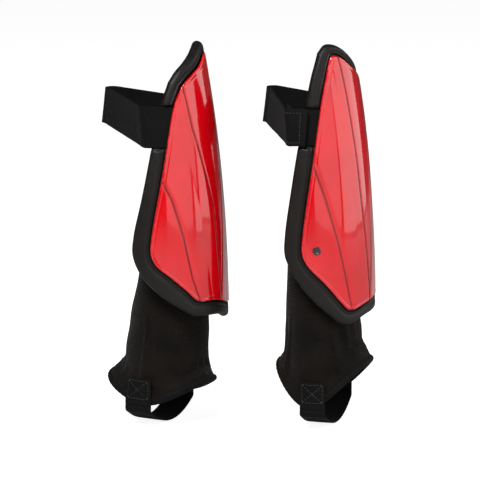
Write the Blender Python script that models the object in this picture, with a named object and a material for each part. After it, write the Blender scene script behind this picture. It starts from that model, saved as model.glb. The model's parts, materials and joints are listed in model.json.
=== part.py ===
"""A pair of football shin guards with ankle sleeves, as worn: a left guard and its mirror image.

Each guard is a moulded shell on a foam pad, an elastic strap round the calf with a hook and loop
closure on the outer side of the leg, and a knitted ankle sleeve with a stirrup under the foot.
Each guard is modelled about its own leg's axis: x towards the wearer's left, y to the back, z up
from the lowest point of the stirrup. The pad's places are given by an angle round the leg from the
front ridge, positive to the outer side of the leg, and a height.
"""

import math

import bpy
import numpy as np

MM = 0.001
FIT_GAP = 0.3 * MM  # between pieces that touch
LAYER_GAP = 0.6 * MM  # between curved layers, which also takes up their facets

# The pair
GUARD_SPACING = 134 * MM  # between the two legs' axes
GUARD_YAW = 60.0  # degrees that each guard's front is turned from -Y

# The pad's curved section: a circle that grows and moves forward from top to bottom
PAD_LOW = 90 * MM  # heights between which the section changes
PAD_HIGH = 345 * MM
RIDGE_FORWARD_LOW = 60.8 * MM  # front ridge, ahead of the leg's axis
RIDGE_SETBACK = 25.3 * MM  # how much further back the ridge is at the top
RIDGE_CURVE = 2.2  # power of that setback along the height
RADIUS_LOW = 55.5 * MM
RADIUS_HIGH = 46.0 * MM

# Shell
SHELL_THICKNESS = 2.4 * MM
SHELL_LOW_EDGE = ((-25, 118.5), (-10, 118.5), (4, 116), (21, 111))
SHELL_TOP_EDGE = (
    *((-31, 312), (-19, 319.5), (0, 328.5), (12, 335)),
    *((19, 337.5), (27, 337.5), (34, 327)),
)
SHELL_OUTER_SIDE = (
    *((21, 111), (29, 112), (37, 119), (52, 135), (71, 153)),
    *((76, 163), (75, 182), (65, 232), (48, 294), (34, 327)),
)
SHELL_INNER_SIDE = (
    *((-25, 118.5), (-32, 121), (-41, 129), (-56, 141), (-72, 153)),
    *((-77, 163), (-76, 178), (-63, 231), (-44, 292), (-31, 312)),
)
RIDGE_HEIGHT = 1.2 * MM  # how far the middle facet stands out
CREASE_LOW = 117 * MM  # heights at which its two creases meet and reach their full angles
CREASE_HIGH = 337 * MM
INNER_CREASE_ANGLE = 34.0
OUTER_CREASE_ANGLE = 18.0
CREASE_SLOPE = 12.0  # degrees over which it falls away

# Foam pad and its fabric lining
FOAM_THICKNESS = 7.0 * MM
FOAM_ROUNDING = 2.0 * MM
FOAM_LOW_EDGE = ((-34, 105.5), (-15, 104.5), (4, 103), (27, 97))
FOAM_TOP_EDGE = (
    *((-45, 315), (-34, 324), (-20, 331.5), (-5, 339)),
    *((6, 344), (18, 347.5), (30, 347.5), (41, 341)),
)
FOAM_OUTER_SIDE = (
    *((27, 97), (36, 98.5), (46, 105.5), (66, 121), (87, 144), (97, 160)),
    *((97, 178), (89, 218), (76, 264), (56, 316), (41, 341)),
)
FOAM_INNER_SIDE = (
    *((-34, 105.5), (-48, 113), (-67, 124), (-90, 143), (-100, 160)),
    *((-99, 176), (-88, 211), (-72, 260), (-58, 295), (-45, 315)),
)
LINING_THICKNESS = 1.0 * MM
LINING_MARGIN = 0.94  # the lining's outline as a share of the foam's

# Calf strap and its closure
STRAP_THICKNESS = 1.6 * MM
STRAP_MIDDLE = 275.5 * MM  # height of its middle at the pad
STRAP_WIDTH = 37 * MM  # at the sewn end
STRAP_BACK_WIDTH = 33 * MM  # at the back of the leg and on the closure
STRAP_BACK_RISE = 10.5 * MM  # its middle is this much higher at the back
STRAP_SEWN_ANGLE = 36.0  # where both sewn ends stop under the shell
STRAP_HINGE_ANGLE = 59.0  # where the strap comes free of the pad on the inner side
RIM_ANGLE = 8.0  # how far past the foam's rim the strap follows the pad's curve
STRAP_TIP_BACK = {"left": 59.7 * MM, "right": 51 * MM}  # the back of the loop, behind the leg's axis
STRAP_TIP_LEAN = 2.2 * MM  # how much further back its lower edge is than its middle
STRAP_TIP_RADIUS = 6.5 * MM
STRAP_TIP_SIDE = {"left": 8 * MM, "right": -20 * MM}  # towards the outer side
STRAP_RUN_SHARES = (0.15, 0.5, 0.9)  # points on each run between the pad and the back of the loop
STRAP_PAD_POINTS = 20  # of the strap's line, from its start, that lie on the pad's outer side
PATCH_THICKNESS = 0.8 * MM
CLOSURE_GAP = 0.7 * MM
PATCH_BORDER = 3 * MM
PATCH_PEEL_BORDER = 6 * MM  # from the patches to the line at which the free end peels off
CLOSURE_LENGTH = 30 * MM
TAB_END_ANGLE = 62.0
TAB_SLANT = 6 * MM  # how much further back the lower corner of its free end is
CHANNEL_CLEARANCE = 0.4 * MM  # over and under the strap
CHANNEL_SIDE_CLEARANCE = 0.9 * MM
CHANNEL_END_ANGLE = 88.0  # past the foam's rim

# Ankle sleeve
SLEEVE_TOP = 152 * MM
SLEEVE_THICKNESS = 1.8 * MM
SLEEVE_RADIUS_TOP = 32.5 * MM
SLEEVE_RADIUS_ANKLE = 38 * MM  # of a circle as long as its section's outline
SLEEVE_ANKLE = 60 * MM  # height at which it has its ankle radius
SLEEVE_FLATNESS = {"left": 1.0, "right": 0.76}  # front-to-back over side-to-side at the ankle
SLEEVE_TWIST = {"left": 2.0, "right": 12.0}  # degrees that the hanging sleeve turns from the pad
SLEEVE_FRONT_SETBACK = {"left": 6.5 * MM, "right": -5.0 * MM}
SEAM_THICKNESS = 0.8 * MM
SEAM_HEIGHT = 14 * MM
SEAM_ANGLE = 40.0
HEM_SIDE = 20 * MM  # heights of the lower hem at the sides, front and heel
HEM_FRONT = {"left": 38 * MM, "right": 56 * MM}
HEM_HEEL = {"left": 37 * MM, "right": 50 * MM}
HEM_FRONT_FLARE = {"left": 10 * MM, "right": 15 * MM}  # how far it turns out
HEM_HEEL_FLARE = {"left": 17 * MM, "right": 9 * MM}
HEM_FLARE_HEIGHT = 26 * MM
BINDING_HEIGHT = 8 * MM
BINDING_THICKNESS = 3.0 * MM

# Stirrup
STIRRUP_WIDTH = 25 * MM
STIRRUP_THICKNESS = 1.6 * MM
STIRRUP_PATCH_HEIGHT = 25 * MM
STIRRUP_SAG = 14 * MM  # depth of its curve under the foot
STIRRUP_BACK_ANGLE = {"left": 8.0, "right": -6.0}  # how far behind the sleeve's sides its ends are sewn
STIRRUP_KNEE = 0.497  # where it turns under the foot, as a share of its span from the middle
STIRRUP_CURVE = 0.46  # where the curve under the foot ends, as a share of the same span

# Stud on the outer side of the shell
STUD_ANGLE = 61.5
STUD_HEIGHT = 166.5 * MM
STUD_RADIUS = 3.6 * MM
STUD_STANDS_OUT = 1.3 * MM

# Mesh fineness
SHELL_GRID = (20, 15)
FOAM_GRID = (20, 13)
LINING_GRID = (18, 9)
SLEEVE_GRID = (28, 7)

OUTER_SIDE = {"left": 1, "right": -1}  # the outer side of the left leg is the wearer's left


def clear_scene():
    for old in list(bpy.data.objects):
        bpy.data.objects.remove(old, do_unlink=True)


def make_material(name, colour, roughness):
    material = bpy.data.materials.new(name)
    material.use_nodes = True
    shader = material.node_tree.nodes["Principled BSDF"]
    shader.inputs["Base Color"].default_value = (*colour, 1)
    shader.inputs["Roughness"].default_value = roughness
    shader.inputs["Metallic"].default_value = 0.0
    return material


def make_materials():
    return {
        "shell": make_material("red_shell", (0.62, 0.01, 0.02), 0.12),
        "foam": make_material("black_foam", (0.022, 0.019, 0.018), 0.6),
        "lining": make_material("black_lining", (0.02, 0.02, 0.022), 0.9),
        "strap": make_material("black_webbing", (0.012, 0.012, 0.013), 0.8),
        "closure": make_material("hook_and_loop", (0.03, 0.03, 0.032), 0.95),
        "sleeve": make_material("black_knit", (0.015, 0.013, 0.012), 0.9),
        "stud": make_material("dark_stud", (0.03, 0.03, 0.03), 0.4),
    }


def smooth_curve(points, count):
    """Points evenly spaced along a centripetal Catmull-Rom curve through the given ones."""
    given = np.array(points, float)
    padded = np.vstack([2 * given[0] - given[1], given, 2 * given[-1] - given[-2]])
    steps = np.sqrt(np.linalg.norm(np.diff(padded, axis=0), axis=1))
    knots = np.concatenate([[0], np.cumsum(steps)])
    pieces = []
    for i in range(1, len(padded) - 2):
        t = np.linspace(knots[i], knots[i + 1], 16, endpoint=False)[:, None]
        t0, t1, t2, t3 = knots[i - 1 : i + 3]
        p0, p1, p2, p3 = padded[i - 1 : i + 3]
        a = (t1 - t) / (t1 - t0) * p0 + (t - t0) / (t1 - t0) * p1
        b = (t2 - t) / (t2 - t1) * p1 + (t - t1) / (t2 - t1) * p2
        c = (t3 - t) / (t3 - t2) * p2 + (t - t2) / (t3 - t2) * p3
        low = (t2 - t) / (t2 - t0) * a + (t - t0) / (t2 - t0) * b
        high = (t3 - t) / (t3 - t1) * b + (t - t1) / (t3 - t1) * c
        pieces.append((t2 - t) / (t2 - t1) * low + (t - t1) / (t2 - t1) * high)
    dense = np.vstack([*pieces, given[-1:]])
    along = np.concatenate([[0], np.cumsum(np.linalg.norm(np.diff(dense, axis=0), axis=1))])
    places = np.linspace(0, along[-1], count)
    return np.stack([np.interp(places, along, dense[:, i]) for i in range(dense.shape[1])], axis=1)


def pad_share(z):
    """How far up the pad a height is, 0 at PAD_LOW and 1 at PAD_HIGH."""
    return np.clip((z - PAD_LOW) / (PAD_HIGH - PAD_LOW), 0, 1.2)


def pad_radius(z):
    return RADIUS_LOW + (RADIUS_HIGH - RADIUS_LOW) * pad_share(z)


def pad_centre(z):
    """How far the section's centre is ahead of the leg's axis."""
    ridge = RIDGE_FORWARD_LOW - RIDGE_SETBACK * pad_share(z) ** RIDGE_CURVE
    return ridge - pad_radius(z)


def pad_points(angle, z, depth):
    """Places at an angle (degrees) and height, this far under the shell's outer face: (side, forward, z)."""
    turn = np.radians(angle)
    radius = pad_radius(z) - depth
    return np.stack([radius * np.sin(turn), pad_centre(z) + radius * np.cos(turn), z + 0 * turn], axis=-1)


def outline_grid(low, outer, inner, top, columns, rows):
    """A grid of (angle, height) that fills the outline: rows run from the inner to the outer side."""
    low = smooth_curve(low, columns + 1)[None]
    top = smooth_curve(top, columns + 1)[None]
    outer = smooth_curve(outer, rows + 1)[:, None]
    inner = smooth_curve(inner, rows + 1)[:, None]
    across = np.linspace(0, 1, columns + 1)[None, :, None]
    up = np.linspace(0, 1, rows + 1)[:, None, None]
    rung = (1 - across) * inner + across * outer
    low_bow = low - ((1 - across) * low[:, :1] + across * low[:, -1:])
    top_bow = top - ((1 - across) * top[:, :1] + across * top[:, -1:])
    grid = rung + (1 - up) * low_bow + up * top_bow
    return grid[..., 0], grid[..., 1] * MM


def side_angle(side, z):
    """The angle of a side outline at a height."""
    curve = smooth_curve(side, 80)
    lowest = int(np.argmax(np.abs(curve[:, 0])))
    return np.interp(z / MM, curve[lowest:, 1], curve[lowest:, 0])


def middle_facet(angle, z):
    """How far the shell stands out: a facet down the middle that narrows from the top to the low edge."""
    share = np.clip((z - CREASE_LOW) / (CREASE_HIGH - CREASE_LOW), 0, 1)
    inner_crease = -INNER_CREASE_ANGLE * share
    outer_crease = OUTER_CREASE_ANGLE * share
    beyond = np.maximum(angle - outer_crease, inner_crease - angle)
    return RIDGE_HEIGHT * np.clip(1 - beyond / CREASE_SLOPE, 0, 1)


class Guard:
    """Makes one guard's objects under its own empty, mirrored for the right leg."""

    def __init__(self, name, materials):
        self.name = name
        self.materials = materials
        self.outer = OUTER_SIDE[name]
        self.frame = bpy.data.objects.new(name + "_guard", None)
        self.frame.location = (0 if name == "left" else GUARD_SPACING, 0, 0)
        self.frame.rotation_euler = (0, 0, math.radians(GUARD_YAW))
        bpy.context.collection.objects.link(self.frame)

    def local(self, places):
        """(side, forward, z) as the guard's own x, y, z."""
        return np.stack([places[..., 0] * self.outer, -places[..., 1], places[..., 2]], axis=-1)

    def add(self, piece, vertices, faces, slot, pivot=(0, 0, 0)):
        mesh = bpy.data.meshes.new(f"{self.name}_{piece}")
        mesh.from_pydata((vertices - np.array(pivot)).tolist(), [], faces)
        mesh.shade_smooth()
        mesh.set_sharp_from_angle(angle=math.radians(35))
        mesh.materials.append(self.materials[slot])
        made = bpy.data.objects.new(f"{self.name}_{piece}", mesh)
        made.parent = self.frame
        made.location = pivot
        bpy.context.collection.objects.link(made)
        return made

    def sheet(self, piece, places, slot, thickness, grow=-1, closed=False, pivot=(0, 0, 0)):
        """A solid from a grid of places: rows go up, columns go to the outer side or round the leg."""
        rows, columns = places.shape[:2]
        number = np.arange(rows * columns).reshape(rows, columns)
        right = np.roll(number, -1, axis=1)
        if not closed:
            number, right = number[:, :-1], right[:, :-1]
        corners = [number[:-1], right[:-1], right[1:], number[1:]]
        faces = np.stack(corners, axis=-1).reshape(-1, 4)
        if self.outer < 0:
            faces = faces[:, ::-1]
        vertices = self.local(places).reshape(-1, 3)
        made = self.add(piece, vertices, faces.tolist(), slot, pivot)
        solidify = made.modifiers.new("Thickness", "SOLIDIFY")
        solidify.thickness = thickness
        solidify.offset = grow
        solidify.use_even_offset = True
        return made


def add_rounding(made, width, segments):
    bevel = made.modifiers.new("Rounding", "BEVEL")
    bevel.width = width
    bevel.segments = segments
    bevel.limit_method = "ANGLE"
    bevel.angle_limit = math.radians(50)


def cut_away(made, cutter):
    cutter.hide_render = True
    cutter.display_type = "WIRE"
    cut = made.modifiers.new("Cut " + cutter.name, "BOOLEAN")
    cut.operation = "DIFFERENCE"
    cut.solver = "EXACT"
    cut.object = cutter


FOAM_DEPTH = SHELL_THICKNESS + LAYER_GAP
LINING_DEPTH = FOAM_DEPTH + FOAM_THICKNESS + LAYER_GAP
SEAM_DEPTH = LINING_DEPTH + LINING_THICKNESS + LAYER_GAP
SLEEVE_DEPTH = SEAM_DEPTH + SEAM_THICKNESS + LAYER_GAP
CHANNEL_DEPTH = FOAM_DEPTH + STRAP_THICKNESS + 2 * CHANNEL_CLEARANCE
SEWN_DEPTH = FOAM_DEPTH + CHANNEL_CLEARANCE + STRAP_THICKNESS / 2
# The closure's layers, from the stub in its channel out to the strap's free end
LOOP_OFFSET = STRAP_THICKNESS / 2 + CLOSURE_GAP + PATCH_THICKNESS / 2
HOOK_OFFSET = LOOP_OFFSET + CLOSURE_GAP + PATCH_THICKNESS
TAB_OFFSET = HOOK_OFFSET + PATCH_THICKNESS / 2 + CLOSURE_GAP + STRAP_THICKNESS / 2


def make_shell(guard):
    angle, z = outline_grid(SHELL_LOW_EDGE, SHELL_OUTER_SIDE, SHELL_INNER_SIDE, SHELL_TOP_EDGE, *SHELL_GRID)
    places = pad_points(angle, z, -middle_facet(angle, z))
    guard.sheet("shell", places, "shell", SHELL_THICKNESS)


def make_foam(guard):
    angle, z = outline_grid(FOAM_LOW_EDGE, FOAM_OUTER_SIDE, FOAM_INNER_SIDE, FOAM_TOP_EDGE, *FOAM_GRID)
    foam = guard.sheet("foam_pad", pad_points(angle, z, FOAM_DEPTH), "foam", FOAM_THICKNESS)
    add_rounding(foam, FOAM_ROUNDING, 1)
    for name, side, width in (("inner", -1, STRAP_WIDTH), ("outer", 1, STRAP_BACK_WIDTH)):
        half = width / 2 + CHANNEL_SIDE_CLEARANCE
        heights = np.linspace(STRAP_MIDDLE - half, STRAP_MIDDLE + half, 2)[:, None]
        angles = side * np.linspace(STRAP_SEWN_ANGLE - 1, CHANNEL_END_ANGLE, 14)[None, ::side]
        places = pad_points(angles, heights + 0 * angles, 0)
        cut_away(foam, guard.sheet(f"{name}_channel", places, "foam", CHANNEL_DEPTH))


def make_lining(guard):
    angle, z = outline_grid(FOAM_LOW_EDGE, FOAM_OUTER_SIDE, FOAM_INNER_SIDE, FOAM_TOP_EDGE, *LINING_GRID)
    middle = 0.5 * (PAD_LOW + PAD_HIGH)
    z = middle + (z - middle) * LINING_MARGIN
    places = pad_points(angle * LINING_MARGIN, z, LINING_DEPTH)
    guard.sheet("pad_lining", places, "lining", LINING_THICKNESS)


def make_stud(guard):
    round_it = np.linspace(0, 2 * np.pi, 16, endpoint=False)[None]
    share = np.array([1.0, 1.0, 0.75])[:, None]
    rise = np.array([LAYER_GAP, 0.7 * STUD_STANDS_OUT, STUD_STANDS_OUT])[:, None]
    angle = STUD_ANGLE + np.degrees(STUD_RADIUS * share * np.cos(round_it) / pad_radius(STUD_HEIGHT))
    z = STUD_HEIGHT + STUD_RADIUS * share * np.sin(round_it)
    vertices = guard.local(pad_points(angle, z, -rise + 0 * angle)).reshape(-1, 3)
    count = round_it.size
    faces = [list(range(count)), list(range(2 * count, 3 * count))[::-1]]
    for ring in range(2):
        for i in range(count):
            j = (i + 1) % count
            faces.append([ring * count + j, ring * count + i, (ring + 1) * count + i, (ring + 1) * count + j])
    if guard.outer > 0:
        faces = [face[::-1] for face in faces]
    guard.add("shell_stud", vertices, faces, "stud")


def loop_line(guard, edge):
    """The strap's middle line round the leg, as (side, forward, z), from the outer sewn end to the inner one.

    edge is 1 for the strap's top edge and -1 for its lower edge. On the pad it follows the pad's curve; past
    the foam's rim it runs nearly straight to the back of the loop.
    """
    pad_z = STRAP_MIDDLE + edge * STRAP_BACK_WIDTH / 2
    sewn_z = STRAP_MIDDLE + edge * STRAP_WIDTH / 2
    back_z = STRAP_MIDDLE + STRAP_BACK_RISE + edge * STRAP_BACK_WIDTH / 2
    outer_rim = side_angle(FOAM_OUTER_SIDE, STRAP_MIDDLE - STRAP_BACK_WIDTH / 2)
    inner_rim = side_angle(FOAM_INNER_SIDE, STRAP_MIDDLE - STRAP_WIDTH / 2)
    outer_angles = np.linspace(STRAP_SEWN_ANGLE, outer_rim + RIM_ANGLE, 7)
    outer = pad_points(outer_angles, pad_z + 0 * outer_angles, SEWN_DEPTH - TAB_OFFSET)
    inner_angles = np.linspace(inner_rim - RIM_ANGLE, -STRAP_HINGE_ANGLE, 5)
    inner = pad_points(inner_angles, sewn_z + 0 * inner_angles, SEWN_DEPTH)
    side = STRAP_TIP_SIDE[guard.name]
    turn = np.radians(np.linspace(10, 170, 7))
    tip_side = side + STRAP_TIP_RADIUS * np.cos(turn)
    tip_forward = edge * STRAP_TIP_LEAN - STRAP_TIP_BACK[guard.name] - STRAP_TIP_RADIUS * np.sin(turn)
    tip = np.stack([tip_side, tip_forward, back_z + 0 * turn], axis=1)
    shares = np.array(STRAP_RUN_SHARES)[:, None]
    outer_run = outer[-1] + shares * (tip[0] - outer[-1])
    inner_run = inner[0] + shares[::-1] * (tip[-1] - inner[0])
    return outer, outer_run, tip, inner_run, inner


def strap_path(guard, edge, count=44):
    return smooth_curve(np.vstack(loop_line(guard, edge)), count)


def offset_in_plan(path, distance):
    """The path moved sideways by this much, towards the leg where it is positive."""
    along = np.gradient(path, axis=0)
    across = np.stack([along[:, 1], -along[:, 0], 0 * along[:, 0]], axis=1)
    across /= np.linalg.norm(across, axis=1)[:, None]
    return path + across * distance


def length_along(path):
    steps = np.linalg.norm(np.diff(path, axis=0), axis=1)
    return np.concatenate([[0], np.cumsum(steps)])


def stretch(path, start, end, count):
    """The part of a path between two lengths along it."""
    along = length_along(path)
    places = np.linspace(start, end, count)
    return np.stack([np.interp(places, along, path[:, i]) for i in range(3)], axis=1)


def tab_start(path):
    """How far along the strap's line its free end stops, at TAB_END_ANGLE."""
    on_pad = np.degrees(np.arctan2(path[:, 0], path[:, 1] - pad_centre(STRAP_MIDDLE)))
    return float(np.interp(TAB_END_ANGLE, on_pad[:STRAP_PAD_POINTS], length_along(path)[:STRAP_PAD_POINTS]))


def ribbon(guard, piece, slot, thickness, start, end, count, offset=0.0, trim=0.0, pivot=(0, 0, 0), slant=0.0):
    """A flat band along the strap's line, between two lengths, moved towards the leg by offset.

    trim narrows it at both edges, and slant shortens its start at the lower one.
    """
    edges = []
    for edge in (-1, 1):
        first = start + slant * (1 - edge) / 2
        path = stretch(offset_in_plan(strap_path(guard, edge), offset), first, end, count)
        path[:, 2] -= edge * trim
        edges.append(path)
    return guard.sheet(piece, np.stack(edges)[:, ::-1], slot, thickness, grow=0, pivot=pivot)


def strap_hinge(guard):
    """Where the strap's sewn end lets it swing, on the inner side."""
    point = pad_points(np.array(-STRAP_HINGE_ANGLE), np.array(STRAP_MIDDLE), SEWN_DEPTH)
    return guard.local(point)


def tab_hinge(guard):
    """The line at which the free end peels off its closure: on the outer face, so that it opens freely."""
    path = strap_path(guard, 0)
    peel = tab_start(path) + CLOSURE_LENGTH
    point = stretch(offset_in_plan(path, -STRAP_THICKNESS / 2), peel, peel, 1)[0]
    return guard.local(point)


def make_strap(guard):
    path = strap_path(guard, 0)
    whole = length_along(path)[-1]
    free_end = tab_start(path)
    peel = free_end + CLOSURE_LENGTH
    hinge = strap_hinge(guard)
    ribbon(guard, "calf_strap", "strap", STRAP_THICKNESS, peel + FIT_GAP, whole - FIT_GAP, 34, pivot=hinge)
    peel_at = tab_hinge(guard)
    tab = (free_end, peel - FIT_GAP, 12)
    ribbon(guard, "strap_tab", "strap", STRAP_THICKNESS, *tab, pivot=peel_at, slant=TAB_SLANT)
    patch = (free_end + TAB_SLANT + PATCH_BORDER, peel - PATCH_PEEL_BORDER, 12)
    hook_in = TAB_OFFSET - HOOK_OFFSET
    loop_in = TAB_OFFSET - LOOP_OFFSET
    ribbon(guard, "hook_patch", "closure", PATCH_THICKNESS, *patch, hook_in, PATCH_BORDER, peel_at)
    ribbon(guard, "loop_patch", "closure", PATCH_THICKNESS, *patch, loop_in, PATCH_BORDER)
    ribbon(guard, "closure_stub", "strap", STRAP_THICKNESS, 0, peel, 22, TAB_OFFSET)


def make_strap_anchor(guard):
    half = STRAP_WIDTH / 2
    heights = np.array([STRAP_MIDDLE - half, STRAP_MIDDLE + half])[:, None]
    gap = math.degrees(FIT_GAP / pad_radius(STRAP_MIDDLE))
    angles = np.linspace(-STRAP_HINGE_ANGLE + gap, -STRAP_SEWN_ANGLE, 8)[None]
    places = pad_points(angles, heights + 0 * angles, SEWN_DEPTH)
    guard.sheet("strap_anchor", places, "strap", STRAP_THICKNESS, grow=0)


def sleeve_section(guard, round_leg, radius, share):
    """The sleeve's section about its own centre.

    It is round at the top, where share is 0, and an ellipse turned by the guard's twist at the ankle.
    """
    flat = SLEEVE_FLATNESS[guard.name] ** (0.5 * share)
    twist = math.radians(SLEEVE_TWIST[guard.name]) * guard.outer * share
    side = radius / flat * np.sin(round_leg)
    forward = radius * flat * np.cos(round_leg)
    turned_side = side * np.cos(twist) + forward * np.sin(twist)
    turned_forward = forward * np.cos(twist) - side * np.sin(twist)
    return turned_side, turned_forward


def sleeve_top_centre():
    """As far forward as the pad's inside lets the top of the sleeve go."""
    room = pad_radius(SLEEVE_TOP) - SLEEVE_DEPTH - SLEEVE_RADIUS_TOP
    return float(pad_centre(SLEEVE_TOP) + room)


def front_or_heel(round_leg, at_front, at_heel):
    """A value that is 0 at the sides and reaches these at the front and heel."""
    facing = np.cos(round_leg)
    return facing**2 * np.where(facing > 0, at_front, at_heel)


def hem_height(guard, round_leg):
    """The lower hem: lowest at the sides, arched over the instep and the heel."""
    front = HEM_FRONT[guard.name] - HEM_SIDE
    heel = HEM_HEEL[guard.name] - HEM_SIDE
    return HEM_SIDE + front_or_heel(round_leg, front, heel)


def sleeve_places(guard, round_leg, z, offset=0.0):
    down = np.clip((SLEEVE_TOP - z) / (SLEEVE_TOP - SLEEVE_ANKLE), 0, 1)
    ease = down * down * (3 - 2 * down)
    radius = SLEEVE_RADIUS_TOP + (SLEEVE_RADIUS_ANKLE - SLEEVE_RADIUS_TOP) * ease
    near_hem = np.clip((hem_height(guard, round_leg) + HEM_FLARE_HEIGHT - z) / HEM_FLARE_HEIGHT, 0, 1)
    outward = front_or_heel(round_leg, HEM_FRONT_FLARE[guard.name], HEM_HEEL_FLARE[guard.name])
    flare = outward * near_hem**2 * (3 - 2 * near_hem)
    side, forward = sleeve_section(guard, round_leg, radius + flare + offset, ease)
    setback = SLEEVE_FRONT_SETBACK[guard.name] + SLEEVE_RADIUS_ANKLE - SLEEVE_RADIUS_TOP
    centre = sleeve_top_centre() - setback * ease
    return np.stack([side, forward + centre, z + 0 * side], axis=-1)


def sleeve_pivot(guard):
    return guard.local(np.array([0, sleeve_top_centre(), SLEEVE_TOP]))


def make_sleeve(guard):
    round_leg = np.linspace(0, 2 * np.pi, SLEEVE_GRID[0], endpoint=False)[None]
    low = hem_height(guard, round_leg) + BINDING_HEIGHT + FIT_GAP
    up = np.linspace(0, 1, SLEEVE_GRID[1] + 1)[:, None] ** 1.3
    z = low + (SLEEVE_TOP - low) * up
    pivot = sleeve_pivot(guard)
    places = sleeve_places(guard, round_leg, z)
    guard.sheet("ankle_sleeve", places, "sleeve", SLEEVE_THICKNESS, closed=True, pivot=pivot)
    z = hem_height(guard, round_leg) + BINDING_HEIGHT * np.array([0, 0.5, 1.0])[:, None]
    proud = 0.5 * (BINDING_THICKNESS - SLEEVE_THICKNESS)
    places = sleeve_places(guard, round_leg, z, proud)
    guard.sheet("sleeve_binding", places, "strap", BINDING_THICKNESS, closed=True, pivot=pivot)


def make_sleeve_seam(guard):
    heights = np.array([SLEEVE_TOP - SEAM_HEIGHT, SLEEVE_TOP])[:, None]
    angles = np.linspace(-SEAM_ANGLE, SEAM_ANGLE, 13)[None]
    places = pad_points(angles, heights + 0 * angles, SEAM_DEPTH)
    guard.sheet("sleeve_seam", places, "lining", SEAM_THICKNESS)


def stirrup_offset():
    """From the sleeve's outer face to the stirrup's middle, over the binding."""
    proud = 0.5 * (BINDING_THICKNESS - SLEEVE_THICKNESS)
    return proud + LAYER_GAP + STIRRUP_THICKNESS / 2


def stirrup_top():
    return HEM_SIDE + FIT_GAP


def stirrup_pivot(guard):
    centre = sleeve_places(guard, np.array([math.pi / 2, -math.pi / 2]), np.full(2, HEM_SIDE)).mean(axis=0)
    centre[2] = stirrup_top()
    return guard.local(centre)


def stirrup_across(guard, share):
    """Places across the strap's width, from its back edge to its front edge, as angles round the sleeve."""
    half = STIRRUP_WIDTH / 2 / SLEEVE_RADIUS_ANKLE
    return math.pi / 2 + math.radians(STIRRUP_BACK_ANGLE[guard.name]) - share * half


def make_stirrup(guard):
    pivot = sleeve_pivot(guard)
    shares = np.linspace(1, -1, 5)
    for name, side in (("outer", 1), ("inner", -1)):
        round_leg = stirrup_across(guard, shares)[None] * side
        heights = np.linspace(stirrup_top() + FIT_GAP, stirrup_top() + STIRRUP_PATCH_HEIGHT, 4)[:, None]
        places = sleeve_places(guard, round_leg, heights + 0 * round_leg, stirrup_offset())
        guard.sheet(f"stirrup_patch_{name}", places[:, ::side], "strap", STIRRUP_THICKNESS, grow=0, pivot=pivot)
    rows = []
    for share in (-1, 0, 1):
        ends = []
        for side in (1, -1):
            round_leg = np.array(stirrup_across(guard, share) * side)
            ends.append(sleeve_places(guard, round_leg, np.array(stirrup_top() - FIT_GAP), stirrup_offset()))
        outer_end, inner_end = ends
        across = outer_end[:2] - inner_end[:2]
        knee = STIRRUP_SAG + STIRRUP_THICKNESS / 2
        bow = np.linspace(STIRRUP_CURVE, -STIRRUP_CURVE, 13)
        middle = (outer_end + inner_end)[:2] / 2
        under = middle + across * bow[:, None]
        height = STIRRUP_THICKNESS / 2 + STIRRUP_SAG * (bow / 0.5) ** 2
        under = np.column_stack([under, height])
        outer_knee = np.array([*(middle + across * STIRRUP_KNEE), knee])
        inner_knee = np.array([*(middle - across * STIRRUP_KNEE), knee])
        rows.append(smooth_curve(np.vstack([outer_end, outer_knee, under, inner_knee, inner_end]), 29))
    places = np.stack(rows)
    guard.sheet("stirrup_strap", places, "strap", STIRRUP_THICKNESS, grow=0, pivot=stirrup_pivot(guard))


def make_guard(name, materials):
    guard = Guard(name, materials)
    make_shell(guard)
    make_foam(guard)
    make_lining(guard)
    make_stud(guard)
    make_strap_anchor(guard)
    make_strap(guard)
    make_sleeve_seam(guard)
    make_sleeve(guard)
    make_stirrup(guard)


def main():
    clear_scene()
    materials = make_materials()
    for name in ("left", "right"):
        make_guard(name, materials)


main()
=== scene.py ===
"""Detailed looks for a pair of shin guards, worn as on two legs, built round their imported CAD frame.

Each guard is a moulded shell in a foam surround with a cloth lining, a woven calf strap with a hook
and loop closure, and a knitted ankle sleeve with a bound hem and a stirrup. Places on a guard are
given as (side, forward, z) about its leg's axis: side grows to the outer side of the leg. The pad's
places come from an angle round the leg in degrees, from the front ridge and positive to the outer
side, a height, and a depth under the shell's outer face.
"""

import json
import math

import bpy
import numpy as np
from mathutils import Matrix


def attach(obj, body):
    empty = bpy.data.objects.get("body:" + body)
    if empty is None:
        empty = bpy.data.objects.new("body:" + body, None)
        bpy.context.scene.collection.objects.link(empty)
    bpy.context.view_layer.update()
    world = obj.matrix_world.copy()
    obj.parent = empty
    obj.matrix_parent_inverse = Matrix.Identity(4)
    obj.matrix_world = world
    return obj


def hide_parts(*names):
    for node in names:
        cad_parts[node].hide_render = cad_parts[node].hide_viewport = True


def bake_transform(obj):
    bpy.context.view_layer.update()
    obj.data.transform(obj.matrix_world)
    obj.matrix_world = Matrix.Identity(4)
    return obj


bl_info = {
    "name": "Shin guard maker",
    "version": (1, 0, 0),
    "blender": (4, 5, 0),
    "location": "View3D > Sidebar > Shin guards",
    "description": "Makes the shells, foam, straps and ankle sleeves of a pair of shin guards",
    "category": "Add Mesh",
}

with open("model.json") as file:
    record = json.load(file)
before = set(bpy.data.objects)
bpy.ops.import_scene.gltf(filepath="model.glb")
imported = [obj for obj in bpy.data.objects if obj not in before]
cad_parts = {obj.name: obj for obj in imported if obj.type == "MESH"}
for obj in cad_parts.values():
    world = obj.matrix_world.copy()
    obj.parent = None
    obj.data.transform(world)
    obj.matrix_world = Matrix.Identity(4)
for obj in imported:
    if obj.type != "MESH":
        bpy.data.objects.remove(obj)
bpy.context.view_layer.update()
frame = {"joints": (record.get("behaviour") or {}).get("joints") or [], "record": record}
JOINTS = {joint["name"]: joint for joint in frame["joints"]}
MOUNTS = {mount["name"]: mount for mount in frame["record"]["mounts"]}

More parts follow.
